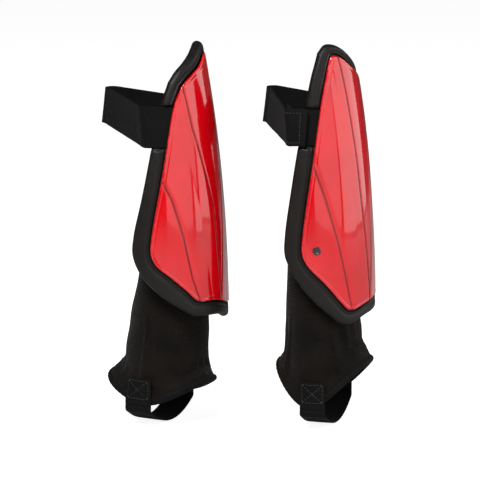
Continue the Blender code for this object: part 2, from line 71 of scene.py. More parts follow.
MM = 0.001
OUTER_SIDE = {"left": 1, "right": -1}

# The pad's curved section, which grows and moves forward from top to bottom
PAD_LOW = 90 * MM
PAD_HIGH = 345 * MM
RIDGE_FORWARD_LOW = 60.8 * MM
RIDGE_SETBACK = 25.3 * MM
RIDGE_CURVE = 2.2
RADIUS_LOW = 55.5 * MM
RADIUS_HIGH = 46.0 * MM

# Outlines as (angle, height in mm): low edge, outer side, top edge, inner side
SHELL_OUTLINE = (
    ((-25, 118.5), (-10, 118.5), (4, 116), (21, 111)),
    (
        *((21, 111), (29, 112), (37, 119), (52, 135), (71, 153)),
        *((76, 163), (75, 182), (65, 232), (48, 294), (34, 327)),
    ),
    ((-31, 312), (-19, 319.5), (0, 328.5), (12, 335), (19, 337.5), (27, 337.5), (34, 327)),
    (
        *((-25, 118.5), (-32, 121), (-41, 129), (-56, 141), (-72, 153)),
        *((-77, 163), (-76, 178), (-63, 231), (-44, 292), (-31, 312)),
    ),
)
FOAM_OUTLINE = (
    ((-34, 105.5), (-15, 104.5), (4, 103), (27, 97)),
    (
        *((27, 97), (36, 98.5), (46, 105.5), (66, 121), (87, 144), (97, 160)),
        *((97, 178), (89, 218), (76, 264), (56, 316), (41, 341)),
    ),
    (
        *((-45, 315), (-34, 324), (-20, 331.5), (-5, 339)),
        *((6, 344), (18, 347.5), (30, 347.5), (41, 341)),
    ),
    (
        *((-34, 105.5), (-48, 113), (-67, 124), (-90, 143), (-100, 160)),
        *((-99, 176), (-88, 211), (-72, 260), (-58, 295), (-45, 315)),
    ),
)

# Shell
SHELL_THICKNESS = 2.4 * MM
RIDGE_HEIGHT = 1.2 * MM
CREASE_LOW = 117 * MM
CREASE_HIGH = 337 * MM
INNER_CREASE_ANGLE = 34.0
OUTER_CREASE_ANGLE = 18.0
CREASE_SLOPE = 12.0
INNER_CREASE = (
    *((0, 123.5), (-2, 139.5), (-4, 162), (-7, 202.5)),
    *((-13, 228), (-25.5, 273), (-30.5, 308.5)),
)
OUTER_CREASE = ((0, 118), (4.5, 162.5), (9.5, 209.5), (11, 240.5), (16, 308.5), (19, 336))
# Each side's pressed band, as its line towards the ridge and its line towards the rim
INNER_BAND = (
    ((21.5, 118.5), (31, 152.5), (42, 185), (50.5, 212), (63, 230.5)),
    ((27, 119.5), (35, 140), (43.5, 176.5), (48, 193), (54, 212), (62.5, 227.5)),
)
OUTER_BAND = (
    ((20, 111.5), (34, 165), (45, 212), (58, 255.5)),
    ((24.5, 111.5), (39, 170.5), (52, 215.5), (62, 243.5)),
)
STUD_ANGLE = 61.5
STUD_HEIGHT = 166.5 * MM

# Foam surround and lining. The rim's profile is given as distances in mm out from the shell's edge,
# and how deep under the shell's face each of the first ones lies
LIP_STEPS = (-4, -1, 0, 0.5, 1.0, 1.5, 1.9, 2.3, 2.7, 3.1, 3.5, 3.9, 4.3)
RIM_STOPS = (-4, -1, 1.2, 2.6, 4.2, 7.6, 60)
FOAM_DEPTH = 3.0 * MM
FOAM_THICKNESS = 7.0 * MM
RIM_DEPTHS = (FOAM_DEPTH, FOAM_DEPTH, 2.7 * MM, 0.7 * MM, 1.5 * MM)
BEAD_EDGE = 2 * MM  # over which the bead eases to its rounded edge
ROUNDED_SHARE = 0.42  # the most of the rim's width that its rounded edge takes
PAD_MIDDLE = 215 * MM
FACE_SHARES = (0.05, 0.35, 0.65, 0.85, 0.95)  # rings of the flat faces, out from the middle
LINING_DEPTH = 10.6 * MM
LINING_THICKNESS = 1.0 * MM
LINING_MARGIN = 0.94
CHANNEL_FLOOR = 5.3 * MM
CHANNEL_EDGE = 1.4 * MM

# Calf strap and closure
STRAP_THICKNESS = 1.6 * MM
STRAP_MIDDLE = 275.5 * MM
STRAP_WIDTH = 37 * MM
STRAP_BACK_WIDTH = 33 * MM
STRAP_BACK_RISE = 10.5 * MM
STRAP_SEWN_ANGLE = 36.0
STRAP_HINGE_ANGLE = 59.0
RIM_ANGLE = 8.0
STRAP_TIP_BACK = {"left": 59.7 * MM, "right": 51 * MM}
STRAP_TIP_LEAN = 2.2 * MM
STRAP_TIP_RADIUS = 6.5 * MM
STRAP_TIP_SIDE = {"left": 8 * MM, "right": -20 * MM}
STRAP_RUN_SHARES = (0.15, 0.5, 0.9)
STRAP_PAD_POINTS = 20
SEWN_DEPTH = 4.2 * MM
PATCH_THICKNESS = 0.8 * MM
CLOSURE_GAP = 0.7 * MM
PATCH_BORDER = 3 * MM
PATCH_PEEL_BORDER = 6 * MM
CLOSURE_LENGTH = 30 * MM
TAB_END_ANGLE = 62.0
TAB_SLANT = 6 * MM
LOOP_OFFSET = STRAP_THICKNESS / 2 + CLOSURE_GAP + PATCH_THICKNESS / 2
HOOK_OFFSET = LOOP_OFFSET + CLOSURE_GAP + PATCH_THICKNESS
TAB_OFFSET = HOOK_OFFSET + PATCH_THICKNESS / 2 + CLOSURE_GAP + STRAP_THICKNESS / 2

# Ankle sleeve
SLEEVE_TOP = 152 * MM
SLEEVE_THICKNESS = 1.8 * MM
SLEEVE_BEND = 42 * MM  # a height below the seam; the point found with it is not used
SLEEVE_DEPTH = 13.6 * MM
SLEEVE_RADIUS_TOP = 32.5 * MM
SLEEVE_RADIUS_ANKLE = 38 * MM
SLEEVE_ANKLE = 60 * MM
SLEEVE_FLATNESS = {"left": 1.0, "right": 0.76}
SLEEVE_TWIST = {"left": 2.0, "right": 12.0}
SLEEVE_FRONT_SETBACK = {"left": 6.5 * MM, "right": -5.0 * MM}
SEAM_DEPTH = 12.2 * MM
SEAM_THICKNESS = 0.8 * MM
SEAM_HEIGHT = 14 * MM
SEAM_ANGLE = 40.0
HEM_SIDE = 20 * MM
HEM_FRONT = {"left": 38 * MM, "right": 56 * MM}
HEM_HEEL = {"left": 37 * MM, "right": 50 * MM}
HEM_FRONT_FLARE = {"left": 10 * MM, "right": 15 * MM}
HEM_HEEL_FLARE = {"left": 17 * MM, "right": 9 * MM}
HEM_FLARE_HEIGHT = 26 * MM
BINDING_HEIGHT = 8 * MM
BINDING_THICKNESS = 3.0 * MM

THREAD_RADIUS = 0.24 * MM

# Stirrup
STIRRUP_WIDTH = 25 * MM
STIRRUP_THICKNESS = 1.6 * MM
STIRRUP_PATCH_HEIGHT = 25 * MM
STIRRUP_SAG = 14 * MM
STIRRUP_BEND = 13 * MM  # a height below its sewn ends; the point found with it is not used
STIRRUP_BACK_ANGLE = {"left": 8.0, "right": -6.0}
STIRRUP_OFFSET = 2.0 * MM
STIRRUP_TOP = 20.3 * MM
STIRRUP_KNEE = 0.497
STIRRUP_CURVE = 0.46


# ---------------------------------------------------------------- shapes


def smooth_curve(points, count):
    """Points evenly spaced along a centripetal Catmull-Rom curve through the given ones."""
    given = np.array(points, float)
    padded = np.vstack([2 * given[0] - given[1], given, 2 * given[-1] - given[-2]])
    steps = np.sqrt(np.linalg.norm(np.diff(padded, axis=0), axis=1))
    knots = np.concatenate([[0], np.cumsum(steps)])
    pieces = []
    for i in range(1, len(padded) - 2):
        t = np.linspace(knots[i], knots[i + 1], 16, endpoint=False)[:, None]
        t0, t1, t2, t3 = knots[i - 1 : i + 3]
        p0, p1, p2, p3 = padded[i - 1 : i + 3]
        a = (t1 - t) / (t1 - t0) * p0 + (t - t0) / (t1 - t0) * p1
        b = (t2 - t) / (t2 - t1) * p1 + (t - t1) / (t2 - t1) * p2
        c = (t3 - t) / (t3 - t2) * p2 + (t - t2) / (t3 - t2) * p3
        low = (t2 - t) / (t2 - t0) * a + (t - t0) / (t2 - t0) * b
        high = (t3 - t) / (t3 - t1) * b + (t - t1) / (t3 - t1) * c
        pieces.append((t2 - t) / (t2 - t1) * low + (t - t1) / (t2 - t1) * high)
    dense = np.vstack([*pieces, given[-1:]])
    along = length_along(dense)
    places = np.linspace(0, along[-1], count)
    return np.stack([np.interp(places, along, dense[:, i]) for i in range(dense.shape[1])], axis=1)


def length_along(path):
    steps = np.linalg.norm(np.diff(path, axis=0), axis=1)
    return np.concatenate([[0], np.cumsum(steps)])


def ease(share):
    """3 s^2 - 2 s^3 of a share held to 0..1."""
    share = np.clip(share, 0, 1)
    return share * share * (3 - 2 * share)


def eased_steps(value, places, heights):
    """A curve through (place, height) points that is level at each of them."""
    at = np.interp(value, places, np.arange(len(places)))
    whole = np.minimum(at.astype(int), len(places) - 2)
    heights = np.asarray(heights, float)
    return heights[whole] + (heights[whole + 1] - heights[whole]) * ease(at - whole)


def pad_share(z):
    return np.clip((z - PAD_LOW) / (PAD_HIGH - PAD_LOW), 0, 1.2)


def pad_radius(z):
    return RADIUS_LOW + (RADIUS_HIGH - RADIUS_LOW) * pad_share(z)


def pad_centre(z):
    ridge = RIDGE_FORWARD_LOW - RIDGE_SETBACK * pad_share(z) ** RIDGE_CURVE
    return ridge - pad_radius(z)


def pad_points(angle, z, depth):
    """A circle of the pad's radius less the depth, about the pad's centre at that height."""
    turn = np.radians(angle)
    radius = pad_radius(z) - depth
    side, forward = radius * np.sin(turn), pad_centre(z) + radius * np.cos(turn)
    return np.stack([side, forward, z + 0 * turn], axis=-1)


def spread(count, crowding):
    """Shares from 0 to 1 that crowd towards both ends: a blend of even and half-cosine steps."""
    even = np.linspace(0, 1, count)
    return (1 - crowding) * even + crowding * 0.5 * (1 - np.cos(np.pi * even))


def outline_grid(outline, columns, rows):
    """(angle, z) over the whole outline: the sides' blend, bowed to meet the low and top edges."""
    low, outer, top, inner = outline
    across, up = spread(columns + 1, 0.6), spread(rows + 1, 0.5)
    dense = 400

    def at(curve, shares):
        fine, even = smooth_curve(curve, dense), np.linspace(0, 1, dense)
        return np.stack([np.interp(shares, even, fine[:, i]) for i in (0, 1)], axis=1)

    low, top = at(low, across)[None], at(top, across)[None]
    outer, inner = at(outer, up)[:, None], at(inner, up)[:, None]
    across, up = across[None, :, None], up[:, None, None]
    rung = (1 - across) * inner + across * outer
    low_bow = low - ((1 - across) * low[:, :1] + across * low[:, -1:])
    top_bow = top - ((1 - across) * top[:, :1] + across * top[:, -1:])
    grid = rung + (1 - up) * low_bow + up * top_bow
    return grid[..., 0], grid[..., 1] * MM


def outline_loop(outline, counts=(70, 150, 70, 150)):
    """The closed outline as (angle, z): along the low edge, up the outer side, back and down again."""
    low, outer, top, inner = (smooth_curve(part, n + 1) for part, n in zip(outline, counts))
    loop = np.vstack([low[:-1], outer[:-1], top[::-1][:-1], inner[::-1][:-1]])
    return loop * (1, MM)


def on_skin(angle, z):
    """Lengths on the unrolled pad: the arc from the ridge, and the height."""
    return np.stack([np.radians(angle) * pad_radius(z), z + 0 * angle], axis=-1)


def distance_to_loop(angle, z, loop):
    """The least distance on the unrolled pad from each point to the closed outline's short edges."""
    points = on_skin(angle, z)
    start = on_skin(loop[:, 0], loop[:, 1])
    edge = np.roll(start, -1, axis=0) - start
    square = (edge**2).sum(axis=1)
    found = np.empty(angle.shape)
    for row, line in enumerate(points):
        away = line[:, None] - start
        share = np.clip((away * edge).sum(axis=2) / square, 0, 1)
        found[row] = np.sqrt((((away - share[..., None] * edge) ** 2).sum(axis=2)).min(axis=1))
    return found


def line_angle(line, z):
    """The angle of a line of (angle, height in mm) points at each height."""
    angles, heights = np.array(line, float).T
    return np.interp(z / MM, heights, angles)


def middle_facet(angle, z):
    """The height of the shell's middle facet, which falls away past its two creases."""
    share = np.clip((z - CREASE_LOW) / (CREASE_HIGH - CREASE_LOW), 0, 1)
    beyond = np.maximum(angle - OUTER_CREASE_ANGLE * share, -INNER_CREASE_ANGLE * share - angle)
    return RIDGE_HEIGHT * np.clip(1 - beyond / CREASE_SLOPE, 0, 1)


# ---------------------------------------------------------------- meshes


def closed_skin(front, back):
    """Vertices and quads of two grids that share their border."""
    rows, columns = front.shape[:2]
    number = np.arange(rows * columns).reshape(rows, columns)
    behind = number.copy()
    inside = np.arange((rows - 2) * (columns - 2)).reshape(rows - 2, columns - 2)
    behind[1:-1, 1:-1] = rows * columns + inside
    vertices = np.vstack([front.reshape(-1, 3), back[1:-1, 1:-1].reshape(-1, 3)])

    def quads(n):
        return np.stack([n[:-1, :-1], n[:-1, 1:], n[1:, 1:], n[1:, :-1]], axis=-1).reshape(-1, 4)

    return vertices, np.vstack([quads(number), quads(behind)[:, ::-1]]), (number, behind)


def grid_normals(grid):
    """Unit normals of a grid: its columns' way across its rows' way."""
    normal = np.cross(np.gradient(grid, axis=1), np.gradient(grid, axis=0))
    return normal / np.linalg.norm(normal, axis=-1, keepdims=True)


def slab(grid, thickness, rounding):
    """A soft-edged layer: the grid moved both ways along its normals by half a thickness.

    The half thickness falls to nothing at the border along a quarter of an ellipse, rounding wide.
    """
    normal = grid_normals(grid)
    u, v = grid_lengths(grid)
    inside = np.minimum(np.minimum(u, u[-1:] - u), np.minimum(v, v[:, -1:] - v))
    half = 0.5 * thickness * np.sqrt(1 - (1 - np.clip(inside / rounding, 0, 1)) ** 2)
    front, back = grid + half[..., None] * normal, grid - half[..., None] * normal
    vertices, faces, (number, behind) = closed_skin(front, back)
    uv = np.zeros((len(vertices), 2))
    for index in (number, behind):
        uv[index.ravel()] = np.stack([u, v], axis=-1).reshape(-1, 2)
    return vertices, faces, uv


def grid_lengths(grid):
    """Lengths along the rows' and the columns' ways from the first row and column."""
    up = np.linalg.norm(np.diff(grid, axis=0), axis=2)
    across = np.linalg.norm(np.diff(grid, axis=1), axis=2)
    u = np.vstack([np.zeros((1, grid.shape[1])), np.cumsum(up, axis=0)])
    v = np.hstack([np.zeros((grid.shape[0], 1)), np.cumsum(across, axis=1)])
    return u, v


def ring_skin(grid, wrap):
    """Quads over rings of points. The last ring joins the first, or both ends close on a pole."""
    rings, count = grid.shape[:2]
    number = np.arange(rings * count).reshape(rings, count)
    beside = np.roll(number, -1, axis=1)
    above = np.roll(number, -1, axis=0) if wrap else number[1:]
    above_beside = np.roll(above, -1, axis=1)
    rows = slice(None) if wrap else slice(None, -1)
    faces = np.stack([number[rows], beside[rows], above_beside, above], axis=-1).reshape(-1, 4).tolist()
    vertices = grid.reshape(-1, 3)
    if not wrap:
        poles = np.stack([grid[0].mean(axis=0), grid[-1].mean(axis=0)])
        start, end = len(vertices), len(vertices) + 1
        vertices = np.vstack([vertices, poles])
        faces += np.stack([beside[0], number[0], np.full(count, start)], axis=-1).tolist()
        faces += np.stack([number[-1], beside[-1], np.full(count, end)], axis=-1).tolist()
    return vertices, faces


def outward(vertices, faces):
    """The faces, turned over if the closed shape they make has a negative volume."""
    corners = [face[:3] for face in faces] + [[face[0], *face[2:4]] for face in faces if len(face) == 4]
    a, b, c = np.moveaxis(vertices[np.array(corners)], 1, 0)
    volume = (np.cross(a, b) * c).sum()
    return faces if volume > 0 else [face[::-1] for face in faces]


class Guard:
    """One guard: turns its (side, forward, z) places into the frame's, and adds pieces to it."""

    def __init__(self, name):
        self.name = name
        self.outer = OUTER_SIDE[name]
        self.place = np.array(MOUNTS[f"{name}_leg"]["pos_m"], float)
        self.across = np.array(JOINTS[f"{name}_sleeve_flex"]["axis"], float)
        self.across /= np.linalg.norm(self.across)
        self.ahead = np.array([self.across[1], -self.across[0], 0])

    def world(self, places):
        places = np.asarray(places, float)
        side, forward, z = (places[..., i : i + 1] for i in range(3))
        level = self.place + side * self.outer * self.across + forward * self.ahead
        return level + z * np.array([0, 0, 1])

    def body(self, part):
        return f"{self.name}_{part}"

    def add(self, piece, shape, material, slot, replaces=(), uv=None, sharp=50.0, values=None):
        """A mesh object of (vertices, faces) in the frame, in its material. The slot is not used."""
        vertices, faces = self.world(shape[0]), shape[1]
        faces = outward(vertices, faces if isinstance(faces, list) else faces.tolist())
        mesh = bpy.data.meshes.new(f"{self.name}_{piece}")
        mesh.from_pydata(vertices.tolist(), [], faces)
        mesh.shade_smooth()
        mesh.set_sharp_from_angle(angle=math.radians(sharp))
        corner = np.empty(len(mesh.loops), np.int32)
        mesh.loops.foreach_get("vertex_index", corner)
        if uv is not None:
            layer = mesh.uv_layers.new(name="UVMap")
            layer.data.foreach_set("uv", uv[corner].astype(np.float32).ravel())
        for name, value in (values or {}).items():
            attribute = mesh.attributes.new(name, "FLOAT", "POINT")
            attribute.data.foreach_set("value", value.astype(np.float32))
        mesh.materials.append(material)
        made = bpy.data.objects.new(f"{self.name}_{piece}", mesh)
        bpy.context.scene.collection.objects.link(made)
        if replaces:
            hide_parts(*[f"{self.name}_{node}" for node in replaces])
        return made


def both_guards():
    return [Guard("left"), Guard("right")]


# ---------------------------------------------------------------- materials


class Finish:
    """A material and its node tree, with short ways to add and join nodes."""

    def __init__(self, name, roughness, **sockets):
        self.material = bpy.data.materials.new(name)
        self.material.use_nodes = True
        self.tree = self.material.node_tree
        self.shader = self.tree.nodes["Principled BSDF"]
        named = {key.replace("_", " "): value for key, value in sockets.items()}
        self.put(self.shader, {"Roughness": roughness, **named})
        self.places = self.node("TexCoord")

    def put(self, node, inputs):
        for key, value in inputs.items():
            if isinstance(value, bpy.types.NodeSocket):
                self.tree.links.new(value, node.inputs[key])
            else:
                node.inputs[key].default_value = value

    def node(self, kind, inputs=None, **settings):
        made = self.tree.nodes.new("ShaderNode" + kind)
        for key, value in settings.items():
            setattr(made, key, value)
        self.put(made, inputs or {})
        return made

    def coordinates(self, use="Object", scale=(1, 1, 1), turn=0.0):
        mapping = self.node("Mapping", {"Vector": self.places.outputs[use], "Scale": scale})
        mapping.inputs["Rotation"].default_value = (0, 0, turn)
        return mapping.outputs["Vector"]

    def noise(self, size, detail=3.0, use="Object", stretch=(1, 1, 1)):
        """Noise whose blotches are about this big, in metres."""
        inputs = {"Vector": self.coordinates(use, stretch), "Scale": 1 / size, "Detail": detail}
        return self.node("TexNoise", {**inputs, "Roughness": 0.5}).outputs["Fac"]

    def cells(self, size, use="Object"):
        """Distance to the nearest of scattered points about this far apart, in metres."""
        inputs = {"Vector": self.coordinates(use), "Scale": 1 / size}
        return self.node("TexVoronoi", inputs).outputs["Distance"]

    def ribs(self, pitch, direction, use="UV", distortion=0.0, turn=0.0, soften=0.0):
        """Even ribs across a direction: a sine of the place over the pitch."""
        vector = self.coordinates(use, turn=turn)
        inputs = {"Scale": math.pi / 10 / pitch, "Distortion": distortion, "Detail": soften}
        made = self.node("TexWave", inputs, bands_direction=direction, wave_profile="SIN")
        self.put(made, {"Vector": vector})
        return made.outputs["Fac"]

    def math(self, operation, a, b=0.0):
        made = self.node("Math", operation=operation)
        self.put(made, {0: a, 1: b})
        return made.outputs[0]

    def between(self, value, low, high, start=0.0, end=1.0):
        inputs = {"Value": value, "From Min": low, "From Max": high, "To Min": start, "To Max": end}
        return self.node("MapRange", inputs, clamp=True).outputs["Result"]

    def tint(self, factor, first, second):
        made = self.node("Mix", data_type="RGBA")
        self.put(made, {0: factor, 6: first, 7: second})
        return made.outputs[2]

    def finish(self, colour, roughness=None, height=None, relief=0.0002):
        self.put(self.shader, {"Base Color": colour})
        if roughness is not None:
            self.put(self.shader, {"Roughness": roughness})
        if height is not None:
            bump = self.node("Bump", {"Height": height, "Distance": relief, "Strength": 1.0})
            self.put(self.shader, {"Normal": bump.outputs["Normal"]})
        return self.material


def shade(colour, factor):
    return (*[min(1.0, channel * factor) for channel in colour[:3]], 1)


def gloss_shell():
    """Moulded gloss plastic: clear coat, faint flow mottling, fine scratches, worn edges and painted
    shade along the creases.
    """
    looks = bpy.context.scene.guard_shell
    red = tuple(looks.colour)
    made = Finish("shell_gloss", looks.roughness, Coat_Roughness=0.03, IOR=1.5)
    wear_and_sheen = made.node("Attribute", attribute_name="wear_and_sheen").outputs["Fac"]
    mottling = made.between(made.noise(0.03, 2), 0.35, 0.65)
    scratches = made.between(made.noise(0.0016, 3, stretch=(1, 1, 0.06)), 0.6, 0.78)
    body = made.tint(mottling, shade(red, 0.93), shade(red, 1.05))
    worn = made.math("MULTIPLY", wear_and_sheen, made.between(made.noise(0.004, 4), 0.42, 0.62))
    groove_shade = made.node("Attribute", attribute_name="groove_shade").outputs["Fac"]
    # Painted shade: the red darkens almost to black along the creases and the bands' rim lines, and the
    # coat and specular fall away there.
    body = made.tint(made.math("MULTIPLY", groove_shade, 0.92), body, shade(red, 0.14))
    made.put(made.shader, {"Coat Weight": made.between(groove_shade, 0, 1, looks.coat, 0.15)})
    made.put(made.shader, {"Specular IOR Level": made.between(groove_shade, 0, 1, 0.5, 0.15)})
    colour = made.tint(made.math("MULTIPLY", worn, 0.2), body, (0.78, 0.10, 0.08, 1))
    smudges = made.noise(0.012, 3)
    rough = made.between(smudges, 0.3, 0.7, looks.roughness - 0.03, looks.roughness + 0.05)
    rough = made.math("ADD", rough, made.math("MULTIPLY", scratches, 0.10))
    rough = made.math("ADD", rough, made.math("MULTIPLY", worn, 0.25))
    ripple = made.math("MULTIPLY", made.noise(0.0045, 1), 0.35)
    height = made.math("ADD", ripple, made.math("MULTIPLY", scratches, -0.06))
    return made.finish(colour, rough, height, 0.00006)


def closed_foam():
    """Moulded foam skin: fine pores, a painted highlight along the rim's crests and slight brown
    mottling.
    """
    looks = bpy.context.scene.guard_foam
    black = tuple(looks.colour)
    made = Finish("foam_skin", looks.roughness, Specular_IOR_Level=0.24)
    pores = made.between(made.cells(0.0011), 0.05, 0.45)
    grain = made.noise(0.0006, 4)
    wear_and_sheen = made.node("Attribute", attribute_name="wear_and_sheen").outputs["Fac"]
    mottling = made.between(made.noise(0.02, 4), 0.3, 0.7)
    body = made.tint(mottling, shade(black, 0.75), shade(black, 1.35))
    # Painted highlight: the foam's colour is lighter along its crests; on the shell the same attribute
    # marks worn edges.
    colour = made.tint(made.math("MULTIPLY", wear_and_sheen, 0.5), body, shade(black, 2.2))
    rough = made.between(made.noise(0.008, 4), 0.3, 0.7, looks.roughness - 0.06, looks.roughness + 0.1)
    height = made.math("ADD", pores, made.math("MULTIPLY", grain, 0.8))
    return made.finish(colour, rough, height, 0.00009)


def woven(name, colour, rib, cross, sheen, roughness=0.75, relief=0.00016, lighter=2.4):
    """Woven elastic: ribs across the band, finer cords along it, and stray lighter fibres."""
    made = Finish(name, roughness, Sheen_Weight=sheen, Sheen_Roughness=0.4, Specular_IOR_Level=0.12)
    weft = made.ribs(rib, "X", distortion=0.6)
    warp = made.ribs(cross, "Y", distortion=0.4)
    fibres = made.between(made.noise(0.0007, 4, "UV", (1, 0.25, 1)), 0.3, 0.75)
    dust = made.between(made.noise(0.0012, 5), 0.66, 0.78)
    weave = made.math("MULTIPLY", weft, made.between(warp, 0, 1, 0.55, 1))
    worn = made.between(made.noise(0.025, 3), 0.35, 0.7)
    base = made.tint(made.math("MULTIPLY", weave, fibres), shade(colour, 0.6), shade(colour, 1.7))
    body = made.tint(made.math("MULTIPLY", worn, 0.35), base, shade(colour, lighter))
    colour = made.tint(made.math("MULTIPLY", dust, 0.18), body, (0.06, 0.058, 0.056, 1))
    height = made.math("ADD", weave, made.math("MULTIPLY", fibres, 0.3))
    rough = made.between(fibres, 0, 1, roughness - 0.08, roughness + 0.12)
    return made.finish(colour, rough, height, relief)


def knitted():
    """Ribbed knit: slanting courses round the leg crossed by fine stitch columns, with a brown cast and
    painted shade and highlight on the ribs.
    """
    looks = bpy.context.scene.guard_knit
    black = tuple(looks.colour)
    nap = {"Sheen_Weight": looks.sheen, "Sheen_Roughness": 0.35}
    made = Finish("rib_knit", 0.82, Specular_IOR_Level=0.1, **nap)
    courses = made.ribs(looks.course_pitch, "Y", distortion=1.2, turn=math.radians(2.5), soften=1.0)
    wales = made.ribs(looks.wale_pitch, "X", distortion=0.5)
    slanted = made.ribs(looks.wale_pitch * 1.4, "DIAGONAL", distortion=0.4)
    fibres = made.between(made.noise(0.0006, 5, "UV"), 0.3, 0.72)
    crossing = made.between(made.math("MULTIPLY", wales, slanted), 0, 0.6, 0.35, 1)
    loops = made.math("MULTIPLY", courses, crossing)
    stretched = made.between(made.noise(0.03, 4), 0.35, 0.68)
    # The ribs' pattern in colour, partly painted light: painted shade in the grooves between the loops,
    # painted highlight on the loops.
    base = made.tint(made.math("MULTIPLY", loops, fibres), shade(black, 0.25), shade(black, 4.2))
    browner = (black[0] * 1.15, black[1], black[2] * 0.9)
    body = made.tint(made.math("MULTIPLY", stretched, 0.4), base, shade(browner, 2.2))
    fluff = made.between(made.noise(0.0011, 6), 0.68, 0.8)
    colour = made.tint(made.math("MULTIPLY", fluff, 0.2), body, (0.06, 0.05, 0.045, 1))
    height = made.math("ADD", loops, made.math("MULTIPLY", fibres, 0.25))
    return made.finish(colour, made.between(fibres, 0, 1, 0.72, 0.92), height, 0.0004)


def brushed_lining():
    """Brushed lining cloth: a short felted nap over a faint open mesh."""
    made = Finish("brushed_lining", 0.9, Sheen_Weight=0.35, Sheen_Roughness=0.5, Specular_IOR_Level=0.2)
    nap = made.noise(0.0007, 6)
    mesh = made.math("MULTIPLY", made.ribs(0.0021, "X"), made.ribs(0.0021, "Y"))
    pile = made.between(made.noise(0.012, 4), 0.3, 0.7)
    base = made.tint(mesh, (0.013, 0.013, 0.014, 1), (0.028, 0.028, 0.030, 1))
    colour = made.tint(made.math("MULTIPLY", pile, 0.5), base, (0.042, 0.041, 0.043, 1))
    rough = made.between(nap, 0.3, 0.7, 0.82, 0.97)
    return made.finish(colour, rough, made.math("ADD", nap, mesh), 0.00025)


def hook_and_loop(name, pile_size, colour, relief):
    """Touch tape: rows of hooks or a tangled pile, as cells broken by noise."""
    made = Finish(name, 0.92, Sheen_Weight=0.4, Specular_IOR_Level=0.25)
    tips = made.between(made.cells(pile_size, use="UV"), 0.05, 0.6)
    tangle = made.noise(pile_size * 0.7, 6, "UV")
    colour = made.tint(made.math("MULTIPLY", tips, tangle), shade(colour, 1.9), shade(colour, 0.5))
    rough = made.between(tangle, 0.3, 0.7, 0.85, 0.98)
    return made.finish(colour, rough, made.math("SUBTRACT", tangle, tips), relief)


def sewing_thread():
    """Twisted polyester thread."""
    looks = bpy.context.scene.guard_stitching
    black = tuple(looks.colour)
    made = Finish("sewing_thread", 0.55, Sheen_Weight=0.3, Specular_IOR_Level=0.5)
    twist = made.ribs(0.0005, "DIAGONAL", "Object", distortion=0.5)
    worn = made.between(made.noise(0.004, 4), 0.35, 0.65)
    colour = made.tint(made.math("MULTIPLY", twist, worn), shade(black, 0.6), shade(black, 1.6))
    return made.finish(colour, made.between(twist, 0, 1, 0.45, 0.7), twist, 0.00008)


def dark_stud():
    """Satin dark plastic with turning marks."""
    made = Finish("stud_plastic", 0.38, Coat_Weight=0.3, Coat_Roughness=0.15)
    grain = made.noise(0.0008, 5)
    mottling = made.between(made.noise(0.002, 3), 0.3, 0.7)
    colour = made.tint(mottling, (0.012, 0.010, 0.010, 1), (0.045, 0.035, 0.035, 1))
    return made.finish(colour, made.between(grain, 0.3, 0.7, 0.28, 0.5), grain, 0.00005)


# ---------------------------------------------------------------- shell, stud, foam and lining


def band_relief(angle, z, band, depth):
    """A pressed band: sinks steeply at its line towards the rim and rises slowly towards the ridge."""
    upper, lower = line_angle(band[0], z), line_angle(band[1], z)
    crest = band[0][-1][1] * MM
    share = (angle - upper) / np.maximum(lower - upper, 0.5)
    lip = np.radians(lower - upper) * pad_radius(z)
    past = np.clip((share - 1) * lip / (0.7 * MM), 0, 1)
    sunk = np.where(share < 1, ease(share) * share, 1 - ease(past))
    return depth * np.where(share > 0, sunk, 0) * ease((crest + 12 * MM - z) / (6 * MM))


def shell_relief(angle, z):
    """How far the shell's face is pressed in, how near each place is to a line that gets worn, and how
    much painted shade each place gets along the creases and the bands' rim lines.
    """
    looks = bpy.context.scene.guard_shell
    sunk = np.zeros_like(angle)
    near = np.zeros_like(angle)
    crease_shade = np.zeros_like(angle)
    for line in (INNER_CREASE, OUTER_CREASE):
        away = np.radians(angle - line_angle(line, z)) * pad_radius(z) / looks.crease_width
        sunk += looks.crease_depth * np.exp(-2 * away**2)
        near = np.maximum(near, np.exp(-(away**2) / 2))
        crease_shade = np.maximum(crease_shade, np.exp(-2.6 * away**2))
    for side, band in ((-1, INNER_BAND), (1, OUTER_BAND)):
        sunk += np.where(angle * side > 0, band_relief(angle * side, z, band, looks.band_depth), 0)
        away = np.radians(angle * side - line_angle(band[1], z)) * pad_radius(z) / looks.crease_width
        there = ease((band[1][-1][1] * MM + 4 * MM - z) / (12 * MM))
        crease_shade = np.maximum(crease_shade, there * np.exp(-1.8 * (away - 0.2) ** 2))
    return sunk, near, crease_shade


def make_shell(guard, material):
    """Outer face: the pad's circle raised by the facet, less the relief and a rounded border."""
    angle, z = outline_grid(SHELL_OUTLINE, 250, 150)
    border = distance_to_loop(angle, z, outline_loop(SHELL_OUTLINE, (40, 80, 40, 80)))
    facet = middle_facet(angle, z)
    sunk, near, crease_shade = shell_relief(angle, z)
    radius = 1.1 * MM
    rounded = radius - np.sqrt(radius**2 - np.clip(radius - border, 0, radius) ** 2)
    rim = 0.2 * MM * ease(1 - np.abs(border - 3.2 * MM) / (1.2 * MM))
    front = pad_points(angle, z, rounded + sunk + rim - facet)
    back = pad_points(angle, z, SHELL_THICKNESS - facet)
    vertices, faces, (number, _) = closed_skin(front, back)
    wear_and_sheen, groove_shade = np.zeros(len(vertices)), np.zeros(len(vertices))
    wear_and_sheen[number.ravel()] = np.maximum(near * 0.5, ease(1 - border / (2.0 * MM))).ravel()
    # The painted shade mask of the creases, for the material.
    groove_shade[number.ravel()] = crease_shade.ravel()
    values = {"wear_and_sheen": wear_and_sheen, "groove_shade": groove_shade}
    shape = vertices, faces
    made = guard.add("shell_moulding", shape, material, "red_shell", ["shell"], sharp=80, values=values)
    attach(made, guard.body("pad"))


